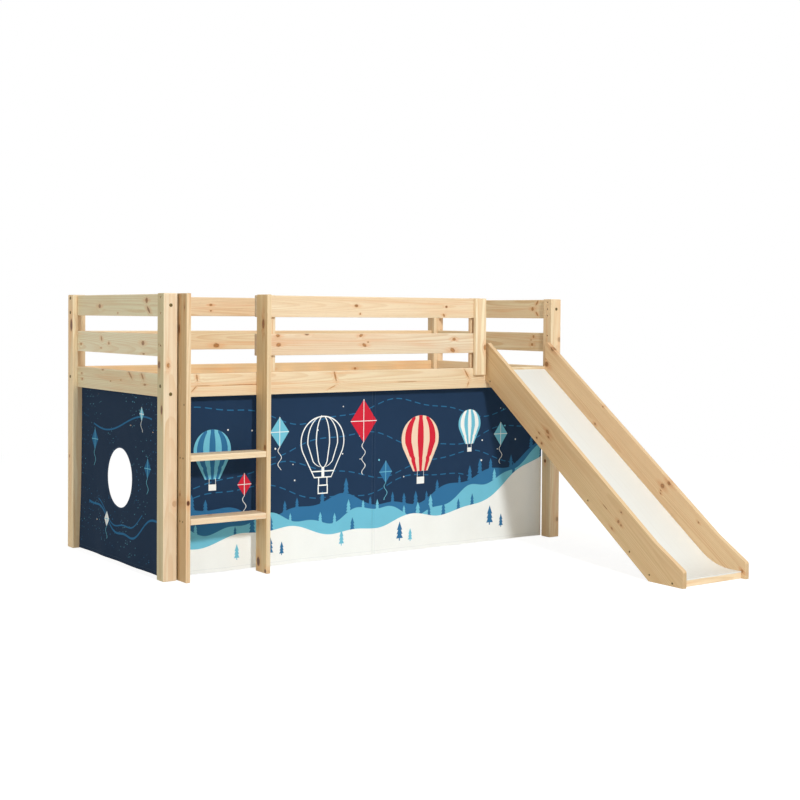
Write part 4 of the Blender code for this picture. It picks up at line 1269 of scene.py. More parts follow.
@dataclass(frozen=True)
class CottonFinish:
    """Printed cotton of the curtains, with its hem stitches, and its paler wrong side."""

    name: str
    motif: Print
    ground: Shade = (35, 57, 85)
    mid_blue: Shade = (54, 116, 162)
    light_blue: Shade = (118, 196, 220)
    white: Shade = (251, 251, 248)
    peach: Shade = (247, 216, 190)
    red: Shade = (214, 42, 62)
    line_blue: Shade = (46, 108, 152)
    thread: Shade = (120, 138, 158)
    back: Shade = (222, 226, 230)
    thread_pitch: float = 0.0013
    relief: float = 0.0003
    map_name: str = "cloth"

    def face(self, width: float, length: float, start: float) -> bpy.types.Material:
        """Make the printed side.

        Args:
            width: The cloth's width.
            length: Its length from heading to hem.
            start: Where its left edge lies on the print.

        Returns:
            The material.
        """
        plan, cloth, weave = self._woven(self.name)
        bench, height = plan.bench, weave.outputs["Height"]
        printed = bench.use(self._print(), Cloth=cloth, Ground=tone(*self.ground))
        colour = bench.shaded(printed.outputs["Color"], weave.outputs["Tone"])
        stitch = bench.use(Effects.get("stitches"), Cloth=cloth, Start=start, Width=width,
                           Length=length).outputs["Stitch"]
        colour = bench.mix(bench.times(stitch, 0.35), colour, tone(*self.thread))
        plan.coat(Base_Color=colour, Roughness=bench.grade(height, 0.80, 0.92),
                  Specular_IOR_Level=0.10, Sheen_Weight=0.02)
        plan.bump(bench.scaled(stitch, -3.0, height), self.relief, 0.35)
        return plan.material

    def reverse(self) -> bpy.types.Material:
        """Make the wrong side, where the print barely shows through.

        Returns:
            The material.
        """
        plan, cloth, weave = self._woven(self.name + "_reverse")
        bench, height = plan.bench, weave.outputs["Height"]
        bleed = bench.cloud(cloth, (5.0, 5.0, 1.0), 2.0)
        colour = bench.mix(bench.grade(bleed, 0.18, 0.30), tone(*self.back), tone(*self.ground))
        plan.coat(Base_Color=bench.shaded(colour, weave.outputs["Tone"]),
                  Roughness=bench.grade(height, 0.84, 0.94), Specular_IOR_Level=0.2)
        plan.bump(height, self.relief, 0.35)
        return plan.material

    def _woven(self, name: str) -> tuple[MaterialPlan, Socket, bpy.types.Node]:
        """Start a material of woven cotton.

        Args:
            name: The material's name.

        Returns:
            The plan, the place on the cloth, and the weave's node.
        """
        plan = MaterialPlan(name)
        cloth = plan.bench.add("ShaderNodeUVMap", uv_map=self.map_name).outputs[0]
        weave = plan.bench.use(Effects.get("weave"), Cloth=cloth, Pitch=self.thread_pitch)
        return plan, cloth, weave

    def _print(self) -> bpy.types.NodeTree:
        """Return the node group of this cotton's print, drawn the first time.

        Returns:
            The group.
        """
        name = f"{self.motif.value}_print"
        if name in bpy.data.node_groups:
            return bpy.data.node_groups[name]
        plan = GroupPlan(name, {"vector": "Cloth", "colour": "Ground"}, {"colour": "Color"})
        art = PrintBench(plan.bench, plan.inputs["Cloth"], plan.inputs["Ground"])
        if self.motif is Print.VALLEY:
            self._valley(art)
        else:
            self._sprigs(art)
        return plan.done(Color=art.colour)

    def _valley(self, art: PrintBench) -> None:
        """Draw wooded hills, balloons and kites across the two front curtains.

        Args:
            art: Where the print is drawn.
        """
        for level, start in ((0.635, 0.4), (0.50, 2.1), (0.385, 4.4), (0.30, 5.6)):
            art.stroke(Roll(level, ((0.040, 0.95, start), (0.010, 0.34, start))), 0.0046,
                       self.line_blue, 0.050, (0.05, 1.92))
        art.dots(9.0, 0.0044, 3.1, 0.34, self.white, 0.30, 0.700)
        art.dots(7.0, 0.0054, 8.3, 0.22, self.light_blue, 0.32, 0.690)

        back = Roll(0.238, ((0.030, 0.66, 0.3), (0.014, 0.27, 1.2)), 0.22)
        art.forest(back, 0.062, 0.080, 0.55, 3.0, self.mid_blue)
        art.hills(back, self.mid_blue)
        middle = Roll(0.186, ((0.026, 0.52, 2.4), (0.012, 0.21, 0.4)), 0.24)
        art.forest(middle, 0.074, 0.074, 0.42, 11.0, self.light_blue)
        art.hills(middle, self.light_blue)
        front = Roll(0.132, ((0.024, 0.78, 4.1), (0.010, 0.30, 2.0)), 0.25)
        art.forest(front, 0.083, 0.078, 0.36, 23.0, self.mid_blue)
        art.hills(front, self.white)
        for u, v, height in ((0.455, 0.045, 0.082), (0.512, 0.040, 0.058), (1.125, 0.046, 0.086),
                             (1.640, 0.075, 0.092), (1.705, 0.060, 0.064)):
            art.tree(u, v, height, self.mid_blue)
        for u, v, height in ((0.300, 0.040, 0.066), (0.815, 0.052, 0.070), (1.180, 0.040, 0.058)):
            art.tree(u, v, height, self.light_blue)

        art.balloon(0.185, 0.500, 0.084, self.light_blue, self.mid_blue, self.white)
        art.kite(0.335, 0.350, 0.034, 0.048, self.red, self.white)
        art.kite(0.500, 0.560, 0.046, 0.064, self.light_blue, self.white)
        art.drawn_balloon(0.715, 0.510, 0.108, 0.0052, self.white)
        art.kite(0.925, 0.590, 0.068, 0.094, self.red, self.white)
        art.balloon(1.235, 0.500, 0.104, self.peach, self.red, self.white)
        art.kite(1.045, 0.360, 0.036, 0.050, self.mid_blue, self.light_blue)
        art.balloon(1.515, 0.555, 0.066, self.light_blue, self.white, self.white)
        art.kite(1.700, 0.500, 0.040, 0.056, self.light_blue, self.white)

    def _sprigs(self, art: PrintBench) -> None:
        """Scatter dots, small kites and gusts of wind over the end curtain.

        Args:
            art: Where the print is drawn.
        """
        art.dots(60.0, 0.0022, 1.3, 0.22, self.light_blue, 0.02, 0.715, 5.0)
        art.dots(46.0, 0.0030, 6.1, 0.34, self.mid_blue, 0.02, 0.715, 4.0)
        art.dots(9.0, 0.0056, 4.7, 0.14, self.peach, 0.06, 0.700)
        for level, swells, width, span in (
            (0.170, ((0.060, 0.74, 0.6), (0.012, 0.23, 1.0)), 0.0090, (0.10, 0.80)),
            (0.205, ((0.060, 0.74, 0.9), (0.012, 0.23, 1.4)), 0.0060, (0.20, 0.66)),
            (0.590, ((0.040, 0.80, 2.6),), 0.0070, (0.14, 0.74))):
            art.stroke(Roll(level, swells), width, self.line_blue, 0.0, span)
        art.kite(0.155, 0.500, 0.034, 0.047, self.line_blue, self.light_blue)
        art.kite(0.700, 0.420, 0.030, 0.042, self.line_blue, self.light_blue)
        art.kite(0.300, 0.165, 0.024, 0.034, self.white, self.light_blue)
        art.kite(0.640, 0.640, 0.022, 0.030, self.light_blue, self.white)


@dataclass
class HangingCloth:
    """A curtain hung by its heading: its place, its folds and its cut."""

    name: str
    node: str
    finish: CottonFinish
    width: float
    print_start: float
    top: float = 0.7525
    hem: float = 0.0045
    heading: float = 0.022
    thickness: float = 0.0012
    seed: float = 1.0
    carrier: str = "front_slat_ledger"
    fold_pitch: float = 0.243
    least_crease: float = -0.0004

    # Each kind of crease: its depth, how many a metre across, their slant, how many a metre up,
    # and what sets it apart from the others.
    CREASES = ((0.0016, 7.0, 0.0, 1.3, 0), (0.0009, 17.0, 6.0, 5.0, 4),
               (0.0002, 60.0, 0.0, 42.0, 9))
    # The creases grow to their full depth over this height under the heading.
    CALM_BELOW_HEADING = 0.25
    # The stitch line of the hem: its height, how deep it pulls in, and its half width.
    HEM_LINE = (0.014, 0.0004, 0.0022)
    # The cloth folded up in the hem: its height and how far it thickens inwards.
    HEM_FOLD = (0.013, 0.00035)
    # The side edges: how far they roll inwards, and how far in from the edge.
    SIDE_ROLL = (0.0022, 0.0040)

    def crease(self, along: float, height: float) -> float:
        """Return how far small creases push the cloth inwards.

        Args:
            along: The place along the cloth.
            height: The place's height above the floor.

        Returns:
            The push in metres.
        """
        share = min(1.0, max(0.0, (self.top - self.heading - height) / self.CALM_BELOW_HEADING))
        push = 0.0
        for depth, across, slant, up, shift in self.CREASES:
            spot = Vector((along * across + height * slant, height * up, self.seed + shift))
            push += depth * noise.noise(spot)
        return share * push

    def edging(self, along: float, height: float) -> float:
        """Return how far the hem, its stitch line and the side edges turn inwards.

        Args:
            along: The place along the cloth.
            height: The place's height above the floor.

        Returns:
            The turn in metres.
        """
        up = height - self.hem
        fold_height, thickening = self.HEM_FOLD
        line_height, pull, line_half = self.HEM_LINE
        roll, reach = self.SIDE_ROLL
        turned = thickening if up < fold_height else 0.0
        seam = pull * math.exp(-((up - line_height) / line_half) ** 2)
        side = min(along, self.width - along)
        return seam - turned + roll * math.exp(-max(0.0, side / reach) ** 2)

    def lie(self, along: float, height: float, start: float) -> tuple[float, float, float]:
        """Return how a place of the cloth lies.

        Args:
            along: The place along the cloth.
            height: Its height above the floor.
            start: Where the creases are counted from, so that curtains differ.

        Returns:
            How far down the cloth it is, from 0 to 1, its swing in the folds, from 0 to 2, and
            how far the creases push it inwards.
        """
        under = self.top - self.heading
        share = min(1.0, max(0.0, (under - height) / (under - self.hem)))
        wave = 1 - math.cos(2 * math.pi * along / self.fold_pitch)
        return share, wave, max(self.crease(start + along, height), self.least_crease)

    def finish_cloth(self, piece: bpy.types.Object, flat_area: float | None = None,
                     with_pieces: tuple[bpy.types.Object, ...] = ()) -> None:
        """Args:
            piece: The cloth's middle surface.
            flat_area: Its flat area where the cut isn't a rectangle; not used.
            with_pieces: The separate pieces that are sewn to it; not used.
        """
        length = self.top - self.hem
        self.thicken(piece, self.finish.face(self.width, length, self.print_start))
        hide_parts(self.node)
        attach(piece, BODY)
        LOG.info("%s has %d faces", piece.name, len(piece.data.polygons))

    def thicken(self, piece: bpy.types.Object, face: bpy.types.Material) -> None:
        """Give a cloth its two sides and its thickness.

        Args:
            piece: The cloth's middle surface.
            face: The material of its right side.
        """
        piece.data.materials.clear()
        piece.data.materials.append(face)
        piece.data.materials.append(self.finish.reverse())
        deselect_all()
        bpy.context.view_layer.objects.active = piece
        piece.select_set(True)
        solid = piece.modifiers.new("Cloth thickness", "SOLIDIFY")
        solid.thickness = self.thickness
        solid.offset = 0
        solid.material_offset = 1
        solid.material_offset_rim = 0
        bpy.ops.object.modifier_apply(modifier=solid.name)
        bpy.ops.object.shade_smooth_by_angle(angle=math.radians(50))
        deselect_all()

    def map_cloth(self, mesh: bpy.types.Mesh, along: Callable[[Vector], float]) -> None:
        """Give the cloth its own map in metres: along it, and up from its hem.

        Args:
            mesh: The cloth's mesh.
            along: Gives how far along the cloth a place is.
        """
        layer = mesh.uv_layers.active or mesh.uv_layers.new(name=self.finish.map_name)
        layer.name = self.finish.map_name
        for loop in mesh.loops:
            place = mesh.vertices[loop.vertex_index].co
            layer.data[loop.index].uv = (self.print_start + along(place), place.z - self.hem)


@dataclass
class FrontCurtain(HangingCloth):
    """One of the two front curtains, which hang from the front ledger."""

    left: float = 0.0
    plane: float = 0.1714
    fold_depth: float = 0.007
    columns: int = 150
    rows: int = 116
    facing_width: float = 0.0
    facing_depth: float = 0.0042

    def build(self) -> None:
        """Model the curtain from a grid, fold it, and dress it."""
        piece = self._hang(self.name, self.columns, 0.0, self.width, 0.0)
        sewn = (self._facing(),) if self.facing_width else ()
        self.finish_cloth(piece, with_pieces=sewn)

    def _hang(self, name: str, columns: int, start: float, width: float,
              inset: float) -> bpy.types.Object:
        """Model a piece of the cloth as it hangs.

        Args:
            name: The piece's name.
            columns: How many columns of faces it has.
            start: Where it starts along the cloth.
            width: Its width.
            inset: How far inside the cloth it hangs, and less it ends at the hem.

        Returns:
            The piece, with its map.
        """
        length = self.top - self.hem - inset
        deselect_all()
        bpy.ops.mesh.primitive_grid_add(x_subdivisions=columns, y_subdivisions=self.rows, size=1,
                                        calc_uvs=True, location=(0, 0, 0))
        piece = bpy.context.object
        piece.name = name
        for vertex in piece.data.vertices:
            along = start + (vertex.co.x + 0.5) * width
            height = self.hem + inset + (vertex.co.y + 0.5) * length
            inward = self._folded(along, height) + (inset or self.edging(along, height))
            vertex.co = (self.left + along, self.plane + inward, height)
        self.map_cloth(piece.data, lambda place: place.x - self.left)
        return piece

    def _facing(self) -> bpy.types.Object:
        """Model the strip behind the seam, which closes the gap to the next curtain.

        Returns:
            The strip.
        """
        start = self.width - self.facing_width / 2
        strip = self._hang(self.name.replace("_cloth", "_facing"), 6, start, self.facing_width,
                           self.facing_depth)
        self.thicken(strip, self.finish.face(self.width, self.top - self.hem, self.print_start))
        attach(strip, BODY)
        LOG.info("%s has %d faces", strip.name, len(strip.data.polygons))
        return strip

    def _folded(self, along: float, height: float) -> float:
        """Return how far the folds and creases alone push the cloth inwards."""
        share, wave, crease = self.lie(along, height, self.left)
        return self.fold_depth * math.sqrt(share) * wave / 2 + crease


@dataclass
class EndCurtain(HangingCloth):
    """The curtain of the left end, with its round window and the window's binding."""

    rear: float = 1.040
    plane: float = -0.9999
    fold_depth: float = 0.004
    fold_pitch: float = 0.290
    least_crease: float = -0.0006
    flare: float = 0.012
    window_y: float = 0.613
    window_z: float = 0.360
    window_radius: float = 0.130
    rings: int = 58
    steps: tuple[int, int] = (62, 54)
    binding_radius: float = 0.0028
    binding_flatness: float = 0.62
    binding_spread: float = 1.3
    binding_dark: Shade = (30, 48, 72)
    binding_light: Shade = (58, 84, 116)

    def build(self) -> None:
        """Model the curtain from rings round its window, fold it, and dress it."""
        mesh = bpy.data.meshes.new(self.name)
        piece = bpy.data.objects.new(self.name, mesh)
        bpy.context.scene.collection.objects.link(piece)
        rim = self._outline()
        centre = Vector((self.rear - self.window_y, self.window_z))
        work = bmesh.new()
        loops = []
        for ring in range(self.rings + 1):
            share = ring / self.rings
            loop = []
            for corner in rim:
                ray = (corner - centre).normalized()
                start = centre + ray * self.window_radius
                spot = start.lerp(corner, share)
                loop.append(work.verts.new(self._hung(spot.x, spot.y)))
            loops.append(loop)
        for inner, outer in zip(loops, loops[1:]):
            for index in range(len(inner)):
                after = (index + 1) % len(inner)
                work.faces.new((inner[index], outer[index], outer[after], inner[after]))
        bmesh.ops.recalc_face_normals(work, faces=work.faces)
        work.faces.ensure_lookup_table()
        if work.faces[0].normal.x > 0:
            bmesh.ops.reverse_faces(work, faces=work.faces)
        work.to_mesh(mesh)
        work.free()
        self.map_cloth(mesh, lambda place: self.rear - place.y)
        whole = self.width * (self.top - self.hem)
        binding = self._binding()
        self.finish_cloth(piece, whole - math.pi * self.window_radius ** 2, (binding,))

    def _outline(self) -> list[Vector]:
        """Return points round the cloth's edge, corners included.

        Returns:
            The points, each along the cloth and above the floor.
        """
        across, up = self.steps
        length = self.top - self.hem
        hem = [Vector((self.width * step / across, self.hem)) for step in range(across)]
        far = [Vector((self.width, self.hem + length * step / up)) for step in range(up)]
        top = [Vector((self.width * (1 - step / across), self.top)) for step in range(across)]
        near = [Vector((0.0, self.top - length * step / up)) for step in range(up)]
        return hem + far + top + near

    def _hung(self, along: float, height: float) -> Vector:
        """Return the place of a point of the cloth once it hangs.

        Args:
            along: The point's place along the cloth.
            height: Its height above the floor.

        Returns:
            Its place.
        """
        share, wave, crease = self.lie(along, height, 0.0)
        inward = self.fold_depth * share * wave / 2 - self.flare * share ** 2
        inward += crease + self.edging(along, height)
        return Vector((self.plane + inward, self.rear - along, height))

    def _binding(self) -> bpy.types.Object:
        """Model the bound edge of the window as a flattened hoop that follows the cloth.

        Returns:
            The hoop.
        """
        deselect_all()
        bpy.ops.mesh.primitive_torus_add(
            major_segments=128, minor_segments=10, major_radius=self.window_radius,
            minor_radius=self.binding_radius, location=(0, 0, 0), rotation=(0, 0, 0))
        piece = bpy.context.object
        piece.name = "curtain_window_binding"
        for vertex in piece.data.vertices:
            y, z, lift = vertex.co.x, vertex.co.y, vertex.co.z
            spoke = Vector((y, z))
            spread = spoke.length - self.window_radius
            spoke = spoke.normalized() * (self.window_radius + spread * self.binding_spread)
            place = self._hung(self.rear - self.window_y - spoke.x, self.window_z + spoke.y)
            vertex.co = place + Vector((lift * self.binding_flatness, 0, 0))
        work = bmesh.new()
        work.from_mesh(piece.data)
        bmesh.ops.recalc_face_normals(work, faces=work.faces)
        work.to_mesh(piece.data)
        work.free()
        piece.data.shade_smooth()
        plan = MaterialPlan("window_binding")
        bench = plan.bench
        spot = plan.place()
        twill = bench.cloud(spot, (900.0, 900.0, 900.0), 2.0)
        colour = bench.mix(bench.grade(twill, 0.0, 0.4), tone(*self.binding_dark),
                           tone(*self.binding_light))
        plan.coat(Base_Color=colour, Roughness=bench.grade(twill, 0.76, 0.92),
                  Specular_IOR_Level=0.25)
        plan.bump(twill, 0.0002, 0.4)
        piece.data.materials.clear()
        piece.data.materials.append(plan.material)
        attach(piece, BODY)
        LOG.info("%s has %d faces", piece.name, len(piece.data.polygons))
        return piece


FRAME_PINE = PineFinish("frame_pine", early=(244, 226, 193), late=(219, 179, 129),
                        blush=(240, 207, 168), flame=(233, 186, 140))
SLIDE_PINE = PineFinish("slide_pine", early=(228, 198, 156), late=(205, 167, 122),
                        blush=(222, 187, 146), flame=(208, 156, 112), knot=(176, 122, 72),
                        knot_core=(104, 70, 40), figure=0.35)
LADDER_PINE = PineFinish("ladder_pine", early=(240, 216, 176), late=(208, 168, 119),
                         blush=(234, 200, 156), flame=(224, 172, 122), knot=(174, 112, 62),
                         knot_core=(92, 56, 32))
RUNG_PINE = PineFinish("rung_pine", early=(246, 227, 195), late=(220, 184, 138),
                       blush=(240, 208, 168))
SLAT_PINE = PineFinish("slat_pine", early=(238, 214, 176), late=(212, 172, 124),
                       blush=(234, 200, 162), ring_width=0.0038)


@dataclass
class Bedframe:
    """The posts, the rails and the front guard of the bed."""

    pine: PineFinish = FRAME_PINE
    post_glue_line: float = -0.0066

    def dress(self) -> None:
        """Give every post and board its own pine."""
        for post in ("post_front_left", "post_front_right", "post_rear_left", "post_rear_right"):
            self.pine.board(post, Lay.UPRIGHT, glue_line=self.post_glue_line)
        for end in ("left_end", "right_end"):
            for level in ("top", "middle", "lower"):
                self.pine.board(f"{end}_{level}_rail", Lay.ALONG_END, stray_knots=2)
        for rail in ("front_side_rail", "rear_side_rail", "rear_guard_top_rail",
                     "rear_guard_middle_rail", "front_guard_top_rail", "front_guard_middle_rail"):
            self.pine.board(rail, Lay.ALONG_BED, stray_knots=3)
        for board in ("front_guard_left_cleat", "front_guard_right_cleat",
                      "front_guard_outer_post"):
            self.pine.board(board, Lay.UPRIGHT)
        for ledger in ("front_slat_ledger", "rear_slat_ledger"):
            self.pine.board(ledger, Lay.ALONG_BED, stray_knots=2)


@dataclass
class Ladder:
    """The two uprights on edge and the two rungs of the ladder."""

    pine: PineFinish = LADDER_PINE
    rung_pine: PineFinish = RUNG_PINE

    def dress(self) -> None:
        """Give every board of the ladder its own pine."""
        for side in ("left", "right"):
            self.pine.board(f"ladder_{side}_upright", Lay.UPRIGHT_ON_EDGE, stray_knots=2)
        for level in ("lower", "upper"):
            self.rung_pine.board(f"ladder_{level}_rung", Lay.FLAT_ALONG_BED)


@dataclass
class Slide:
    """The cheeks, the white surface and the battens of the slide."""

    pine: PineFinish = SLIDE_PINE
    bar_pine: PineFinish = RUNG_PINE
    laminate: LaminateFinish = LaminateFinish()

    def dress(self) -> None:
        """Give the cheeks, the surface and the battens their finishes."""
        for side in ("left", "right"):
            self.pine.board(f"slide_{side}_cheek", Lay.DOWN_SLIDE, stray_knots=5)
        for batten in ("slide_top_batten", "slide_upper_batten", "slide_lower_batten",
                       "slide_bend_batten"):
            self.pine.board(batten, Lay.ALONG_BED, stray_knots=0)
        self.bar_pine.board("slide_toe_bar", Lay.ALONG_BED, stray_knots=0)
        self.laminate.board("slide_surface")


@dataclass
class SlatBase:
    """The twelve slats that carry the mattress."""

    pine: PineFinish = SLAT_PINE
    count: int = 12

    def dress(self) -> None:
        """Give every slat its own pine."""
        for number in range(1, self.count + 1):
            self.pine.board(f"bed_slat_{number:02d}", Lay.FLAT_ALONG_END, stray_knots=1)


@dataclass(frozen=True)
class Head:
    """A low round head with a hexagon socket, as it stands on the plane of the wood."""

    name: str
    radius: float
    rise: float
    socket_radius: float
    socket_depth: float
    sides: int = 24
    rim_round: float = 0.0004

    def model(self) -> bpy.types.Object:
        """Model the head from a cylinder, with its foot on Z = 0 and its socket upwards.

        Returns:
            The head.
        """
        deselect_all()
        bpy.ops.mesh.primitive_cylinder_add(vertices=self.sides, radius=self.radius,
                                            depth=self.rise, location=(0, 0, 0))
        head = bpy.context.object
        head.name = self.name
        mesh = head.data
        for vertex in mesh.vertices:
            vertex.co.z += self.rise / 2
        self._select_top(mesh)
        bpy.ops.object.mode_set(mode="EDIT")
        bpy.ops.mesh.inset(thickness=self.radius - self.socket_radius)
        bpy.ops.object.mode_set(mode="OBJECT")
        for vertex in mesh.vertices:
            if Vector(vertex.co.xy).length < (self.radius + self.socket_radius) / 2:
                self._on_hexagon(vertex)
        bpy.ops.object.mode_set(mode="EDIT")
        bpy.ops.mesh.extrude_region_move(
            TRANSFORM_OT_translate={"value": (0, 0, -self.socket_depth)})
        bpy.ops.mesh.select_all(action="DESELECT")
        bpy.ops.mesh.select_mode(type="EDGE")
        bpy.ops.object.mode_set(mode="OBJECT")
        for edge in mesh.edges:
            ends = [mesh.vertices[index].co for index in edge.vertices]
            edge.select = all(end.z > self.rise * 0.9 and end.xy.length > self.radius * 0.95
                              for end in ends)
        bpy.ops.object.mode_set(mode="EDIT")
        bpy.ops.mesh.bevel(offset=self.rim_round, segments=2, affect="EDGES")
        bpy.ops.object.mode_set(mode="OBJECT")
        bpy.ops.object.shade_smooth_by_angle(angle=math.radians(35))
        deselect_all()
        return head

    @staticmethod
    def _select_top(mesh: bpy.types.Mesh) -> None:
        """Select only the faces that look up.

        Args:
            mesh: The head's mesh.
        """
        bpy.ops.object.mode_set(mode="EDIT")
        bpy.ops.mesh.select_mode(type="FACE")
        bpy.ops.mesh.select_all(action="DESELECT")
        bpy.ops.object.mode_set(mode="OBJECT")
        for face in mesh.polygons:
            face.select = face.normal.z > 0.9

    def _on_hexagon(self, vertex: bpy.types.MeshVertex) -> None:
        """Move a corner of the socket's mouth onto a hexagon.

        Args:
            vertex: The corner.
        """
        angle = math.atan2(vertex.co.y, vertex.co.x)
        within = angle % (math.pi / 3) - math.pi / 6
        reach = self.socket_radius * math.cos(math.pi / 6) / math.cos(within)
        vertex.co.x, vertex.co.y = reach * math.cos(angle), reach * math.sin(angle)


@dataclass
class Fasteners:
    """The bolts and screws: those in the CAD, their low heads, and those on hidden sides."""

    steel: SteelFinish = SteelFinish()
    bolt: Head = Head("bolt_head", 0.0070, 0.0014, 0.0030, 0.0013)
    screw: Head = Head("screw_head", 0.0036, 0.0006, 0.0015, 0.0004, rim_round=0.0002)
    sink: float = 0.0010
    clearance: float = 0.00003
    hidden_bolts: tuple[tuple[Point, Point], ...] = (
        ((1.040, 0.141, 0.7725), (1, 0, 0)), ((1.040, 1.073, 0.7725), (1, 0, 0)),
        ((1.040, 1.073, 1.1245), (1, 0, 0)), ((1.040, 1.073, 1.0605), (1, 0, 0)),
        ((-1.010, 1.103, 1.0925), (0, 1, 0)), ((-1.010, 1.103, 0.7415), (0, 1, 0)),
        ((1.010, 1.103, 1.0925), (0, 1, 0)), ((1.010, 1.103, 0.7415), (0, 1, 0)),
        ((1.010, 0.111, 0.7415), (0, -1, 0)))
    rung_screws: tuple[tuple[float, float], ...] = (
        (0.095, 0.490), (0.070, 0.490), (0.095, 0.239), (0.070, 0.239), (0.063, 0.701))
    upright_faces: tuple[tuple[float, float], ...] = ((-0.975, -1.0), (-0.593, 1.0))
    cheek_face: float = 0.978

    def build(self) -> None:
        """Give the bolts and screws of the CAD their steel, and set every low head."""
        bolt, screw = self.bolt.model(), self.screw.model()
        for node in sorted(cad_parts):
            if node.startswith("bolt_"):
                put_on_node(node, self.steel.material())
                low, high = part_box(node)
                spot = (low + high) / 2
                deep = max(range(3), key=lambda axis: high[axis] - low[axis])
                spot[deep] = low[deep] - self.sink
                out = Vector((0, 0, 0))
                out[deep] = -1.0
                self._set(bolt, f"{node}_head", spot, out)
            elif node.startswith("slide_screw_"):
                put_on_node(node, self.steel.material())
                low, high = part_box(node)
                spot = Vector((self.cheek_face, (low.y + high.y) / 2, (low.z + high.z) / 2))
                self._set(screw, f"{node}_outer", spot, Vector((1, 0, 0)))
        for number, (spot, out) in enumerate(self.hidden_bolts, start=1):
            self._set(bolt, f"hidden_bolt_head_{number}", Vector(spot), Vector(out))
        for side, out in self.upright_faces:
            for number, (y, z) in enumerate(self.rung_screws, start=1):
                name = f"rung_screw_{'left' if out < 0 else 'right'}_{number}"
                self._set(screw, name, Vector((side, y, z)), Vector((out, 0, 0)))
        for master in (bolt, screw):
            bpy.data.objects.remove(master)

    def _set(self, master: bpy.types.Object, name: str, spot: Vector, out: Vector) -> None:
        """Set a copy of a head on the wood.

        Args:
            master: The head that is copied.
            name: The copy's name.
            spot: The middle of its foot.
            out: Which way it faces.
        """
        piece = bpy.data.objects.new(name, master.data.copy())
        bpy.context.scene.collection.objects.link(piece)
        turn = out.to_track_quat("Z", "Y").to_matrix().to_4x4()
        piece.data.transform(Matrix.Translation(spot + out * self.clearance) @ turn)
        piece.data.materials.clear()
        piece.data.materials.append(self.steel.material())
        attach(piece, BODY)
        LOG.info("%s is set", name)


@dataclass
class Curtains:
    """The printed curtains round the play space."""

    front_width: float = 0.9765
    end_width: float = 0.866

    def build(self) -> None:
        """Model and dress the two front curtains and the end curtain."""
        front = CottonFinish("front_cotton_left", Print.VALLEY)
        FrontCurtain("curtain_front_left_cloth", "curtain_front_left", front, self.front_width,
                     0.0, left=-0.9770, seed=2.0, facing_width=0.026).build()
        front = CottonFinish("front_cotton_right", Print.VALLEY)
        FrontCurtain("curtain_front_right_cloth", "curtain_front_right", front, self.front_width,
                     0.9775, left=0.0005, seed=2.0).build()
        end = CottonFinish("end_cotton", Print.SPRIGS, ground=(32, 51, 74))
        EndCurtain("curtain_left_end_cloth", "curtain_left_end", end, self.end_width, 0.0,
                   seed=11.0, carrier="left_end_lower_rail").build()


@dataclass(frozen=True)
class Lamp:
    """A round soft lamp: its place and aim, its diameter, its power in watts and its tint."""

    name: str
    place: Point
    aim: Point
    size: float
    power: float
    tint: Point

    def hang(self) -> None:
        """Set the lamp up."""
        light = bpy.data.lights.new(self.name, "AREA")
        light.shape = "DISK"
        light.size = self.size
        light.energy = self.power
        light.color = self.tint
        lamp = bpy.data.objects.new(self.name, light)
        lamp.location = self.place
        way = Vector(self.aim) - Vector(self.place)
        lamp.rotation_euler = way.to_track_quat("-Z", "Y").to_euler()
        bpy.context.scene.collection.objects.link(lamp)


BED_MIDDLE = (0.0, 0.0, 0.5)
COOL_TINT = (0.945, 0.985, 1.0)


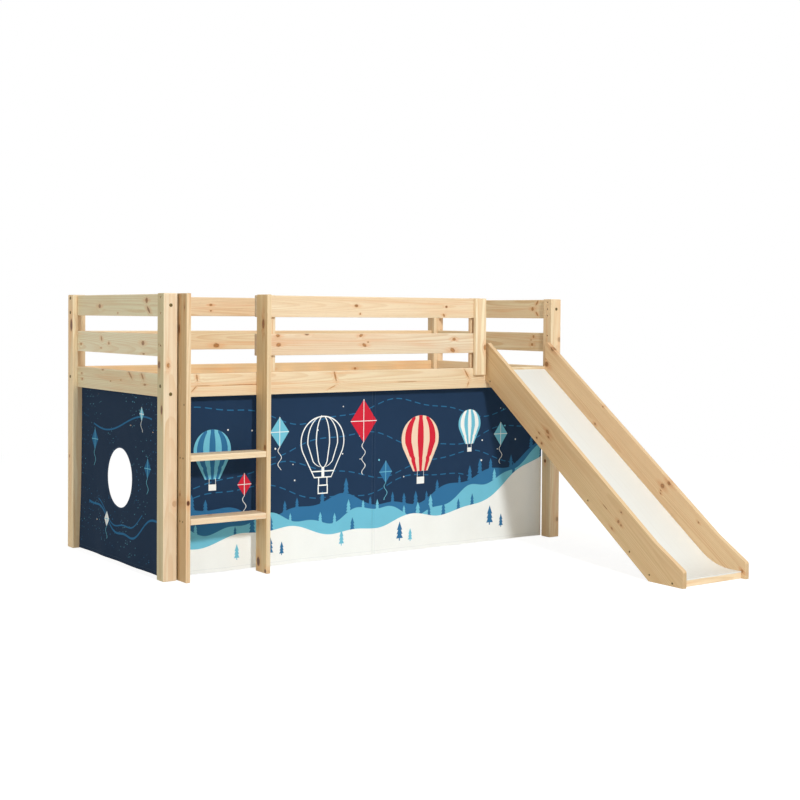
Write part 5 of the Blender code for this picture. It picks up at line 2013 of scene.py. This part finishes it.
@dataclass
class Studio:
    """The pale floor, the soft light and the camera."""

    lamps: tuple[Lamp, ...] = (
        Lamp("key_softbox", (-1.05, -5.0, 3.66), BED_MIDDLE, 0.70, 206.0, COOL_TINT),
        Lamp("side_panel", (-6.0, 0.6, 2.2), (-1.0, 0.4, 0.6), 3.0, 45.0, (0.965, 1.0, 0.985)),
        Lamp("top_panel", (0.2, -0.4, 6.0), BED_MIDDLE, 4.0, 55.0, COOL_TINT),
        Lamp("bounce_card", (2.5, -0.9, 0.2), (0.85, 0.13, 0.35), 0.6, 4.0, (1.0, 0.72, 0.40)))
    fill: float = 0.425
    fill_tint: Point = (1.0, 0.97, 0.885)
    floor_size: float = 60.0
    floor_drop: float = 0.0006
    floor_colour: Point = (0.80, 0.80, 0.79)
    shadow_grey: float = 0.32
    floor_lift: float = 0.85
    fade_to_white: tuple[float, float] = (2.6, 5.0)
    camera_place: Point = (-3.383, -4.796, 1.063)
    camera_right: Point = (0.82035957, -0.57180431, 0.00707148)
    camera_up: Point = (0.00739145, 0.02296777, 0.99970888)
    camera_back: Point = (-0.57180026, -0.82006848, 0.02306829)
    lens: float = 61.551
    shift: tuple[float, float] = (0.0135, -0.067875)

    def build(self) -> None:
        """Set up the floor, the world, the lamps and the camera."""
        self._floor()
        self._world()
        for lamp in self.lamps:
            lamp.hang()
        self._camera()
        bpy.context.scene.view_settings.view_transform = "Standard"
        LOG.info("studio ready")

    @staticmethod
    def _shader(bench: Bench, kind: str, **values: Feed) -> Socket:
        """Return the shader of a node that is fed by its inputs' names."""
        return bench.named(bench.add(kind), **values).outputs[0]

    @staticmethod
    def _by_ray(bench: Bench, lit: Socket, seen: Socket, output: str) -> None:
        """Show one shader to the light and another to the eye, also off gloss or through glass.

        Args:
            bench: Where the nodes go.
            lit: The shader that the light meets.
            seen: The shader that the eye sees.
            output: The kind of the output node.
        """
        path = bench.add("ShaderNodeLightPath").outputs
        straight = bench.most(path["Is Camera Ray"], path["Is Glossy Ray"])
        straight = bench.most(straight, path["Is Transmission Ray"])
        choice = bench.result(bench.add("ShaderNodeMixShader"), straight, lit, seen)
        bench.named(bench.add(output), Surface=choice)

    def _floor(self) -> None:
        """Lay the floor, which keeps the bed's shadow under a white ground."""
        deselect_all()
        bpy.ops.mesh.primitive_plane_add(size=self.floor_size, location=(0, 0, -self.floor_drop))
        floor = bpy.context.object
        floor.name = "studio_floor"
        material = bpy.data.materials.new("pale_floor")
        material.use_nodes = True
        material.node_tree.nodes.clear()
        bench = Bench(material.node_tree)
        plain = self._shader(bench, "ShaderNodeBsdfDiffuse", Color=(*self.floor_colour, 1))
        grey = self._shader(bench, "ShaderNodeBsdfDiffuse", Color=(*[self.shadow_grey] * 3, 1))
        glow = self._shader(bench, "ShaderNodeEmission", Strength=self.floor_lift)
        white = self._shader(bench, "ShaderNodeEmission", Strength=1.0)
        near = bench.result(bench.add("ShaderNodeAddShader"), grey, glow)
        spot = bench.add("ShaderNodeTexCoord").outputs["Object"]
        far = bench.step(bench.vector("LENGTH", spot), *self.fade_to_white)
        lifted = bench.result(bench.add("ShaderNodeMixShader"), far, near, white)
        self._by_ray(bench, plain, lifted, "ShaderNodeOutputMaterial")
        floor.data.materials.append(material)

    def _world(self) -> None:
        """Light the scene softly from all round, in front of a white ground."""
        world = bpy.data.worlds.new("soft_studio")
        world.use_nodes = True
        world.node_tree.nodes.clear()
        bench = Bench(world.node_tree)
        white = self._shader(bench, "ShaderNodeBackground", Color=(1, 1, 1, 1), Strength=1.0)
        soft = self._shader(bench, "ShaderNodeBackground", Color=(*self.fill_tint, 1),
                            Strength=self.fill)
        self._by_ray(bench, soft, white, "ShaderNodeOutputWorld")
        bpy.context.scene.world = world

    def _camera(self) -> None:
        """Set the camera where the photograph was taken from."""
        turn = Matrix((self.camera_right, self.camera_up, self.camera_back)).transposed()
        optics = bpy.data.cameras.new("photo_camera")
        optics.sensor_width = 36
        optics.lens = self.lens
        optics.shift_x, optics.shift_y = self.shift
        camera = bpy.data.objects.new("photo_camera", optics)
        camera.matrix_world = Matrix.Translation(self.camera_place) @ turn.to_4x4()
        bpy.context.scene.collection.objects.link(camera)
        bpy.context.scene.camera = camera


def main() -> None:
    """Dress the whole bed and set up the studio."""
    logging.basicConfig(level=logging.INFO, format="%(name)s: %(message)s")
    deselect_all()
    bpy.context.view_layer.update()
    for part in (Bedframe(), Ladder(), Slide(), SlatBase()):
        part.dress()
    Fasteners().build()
    Curtains().build()
    Studio().build()


if __name__ == "__main__":
    main()
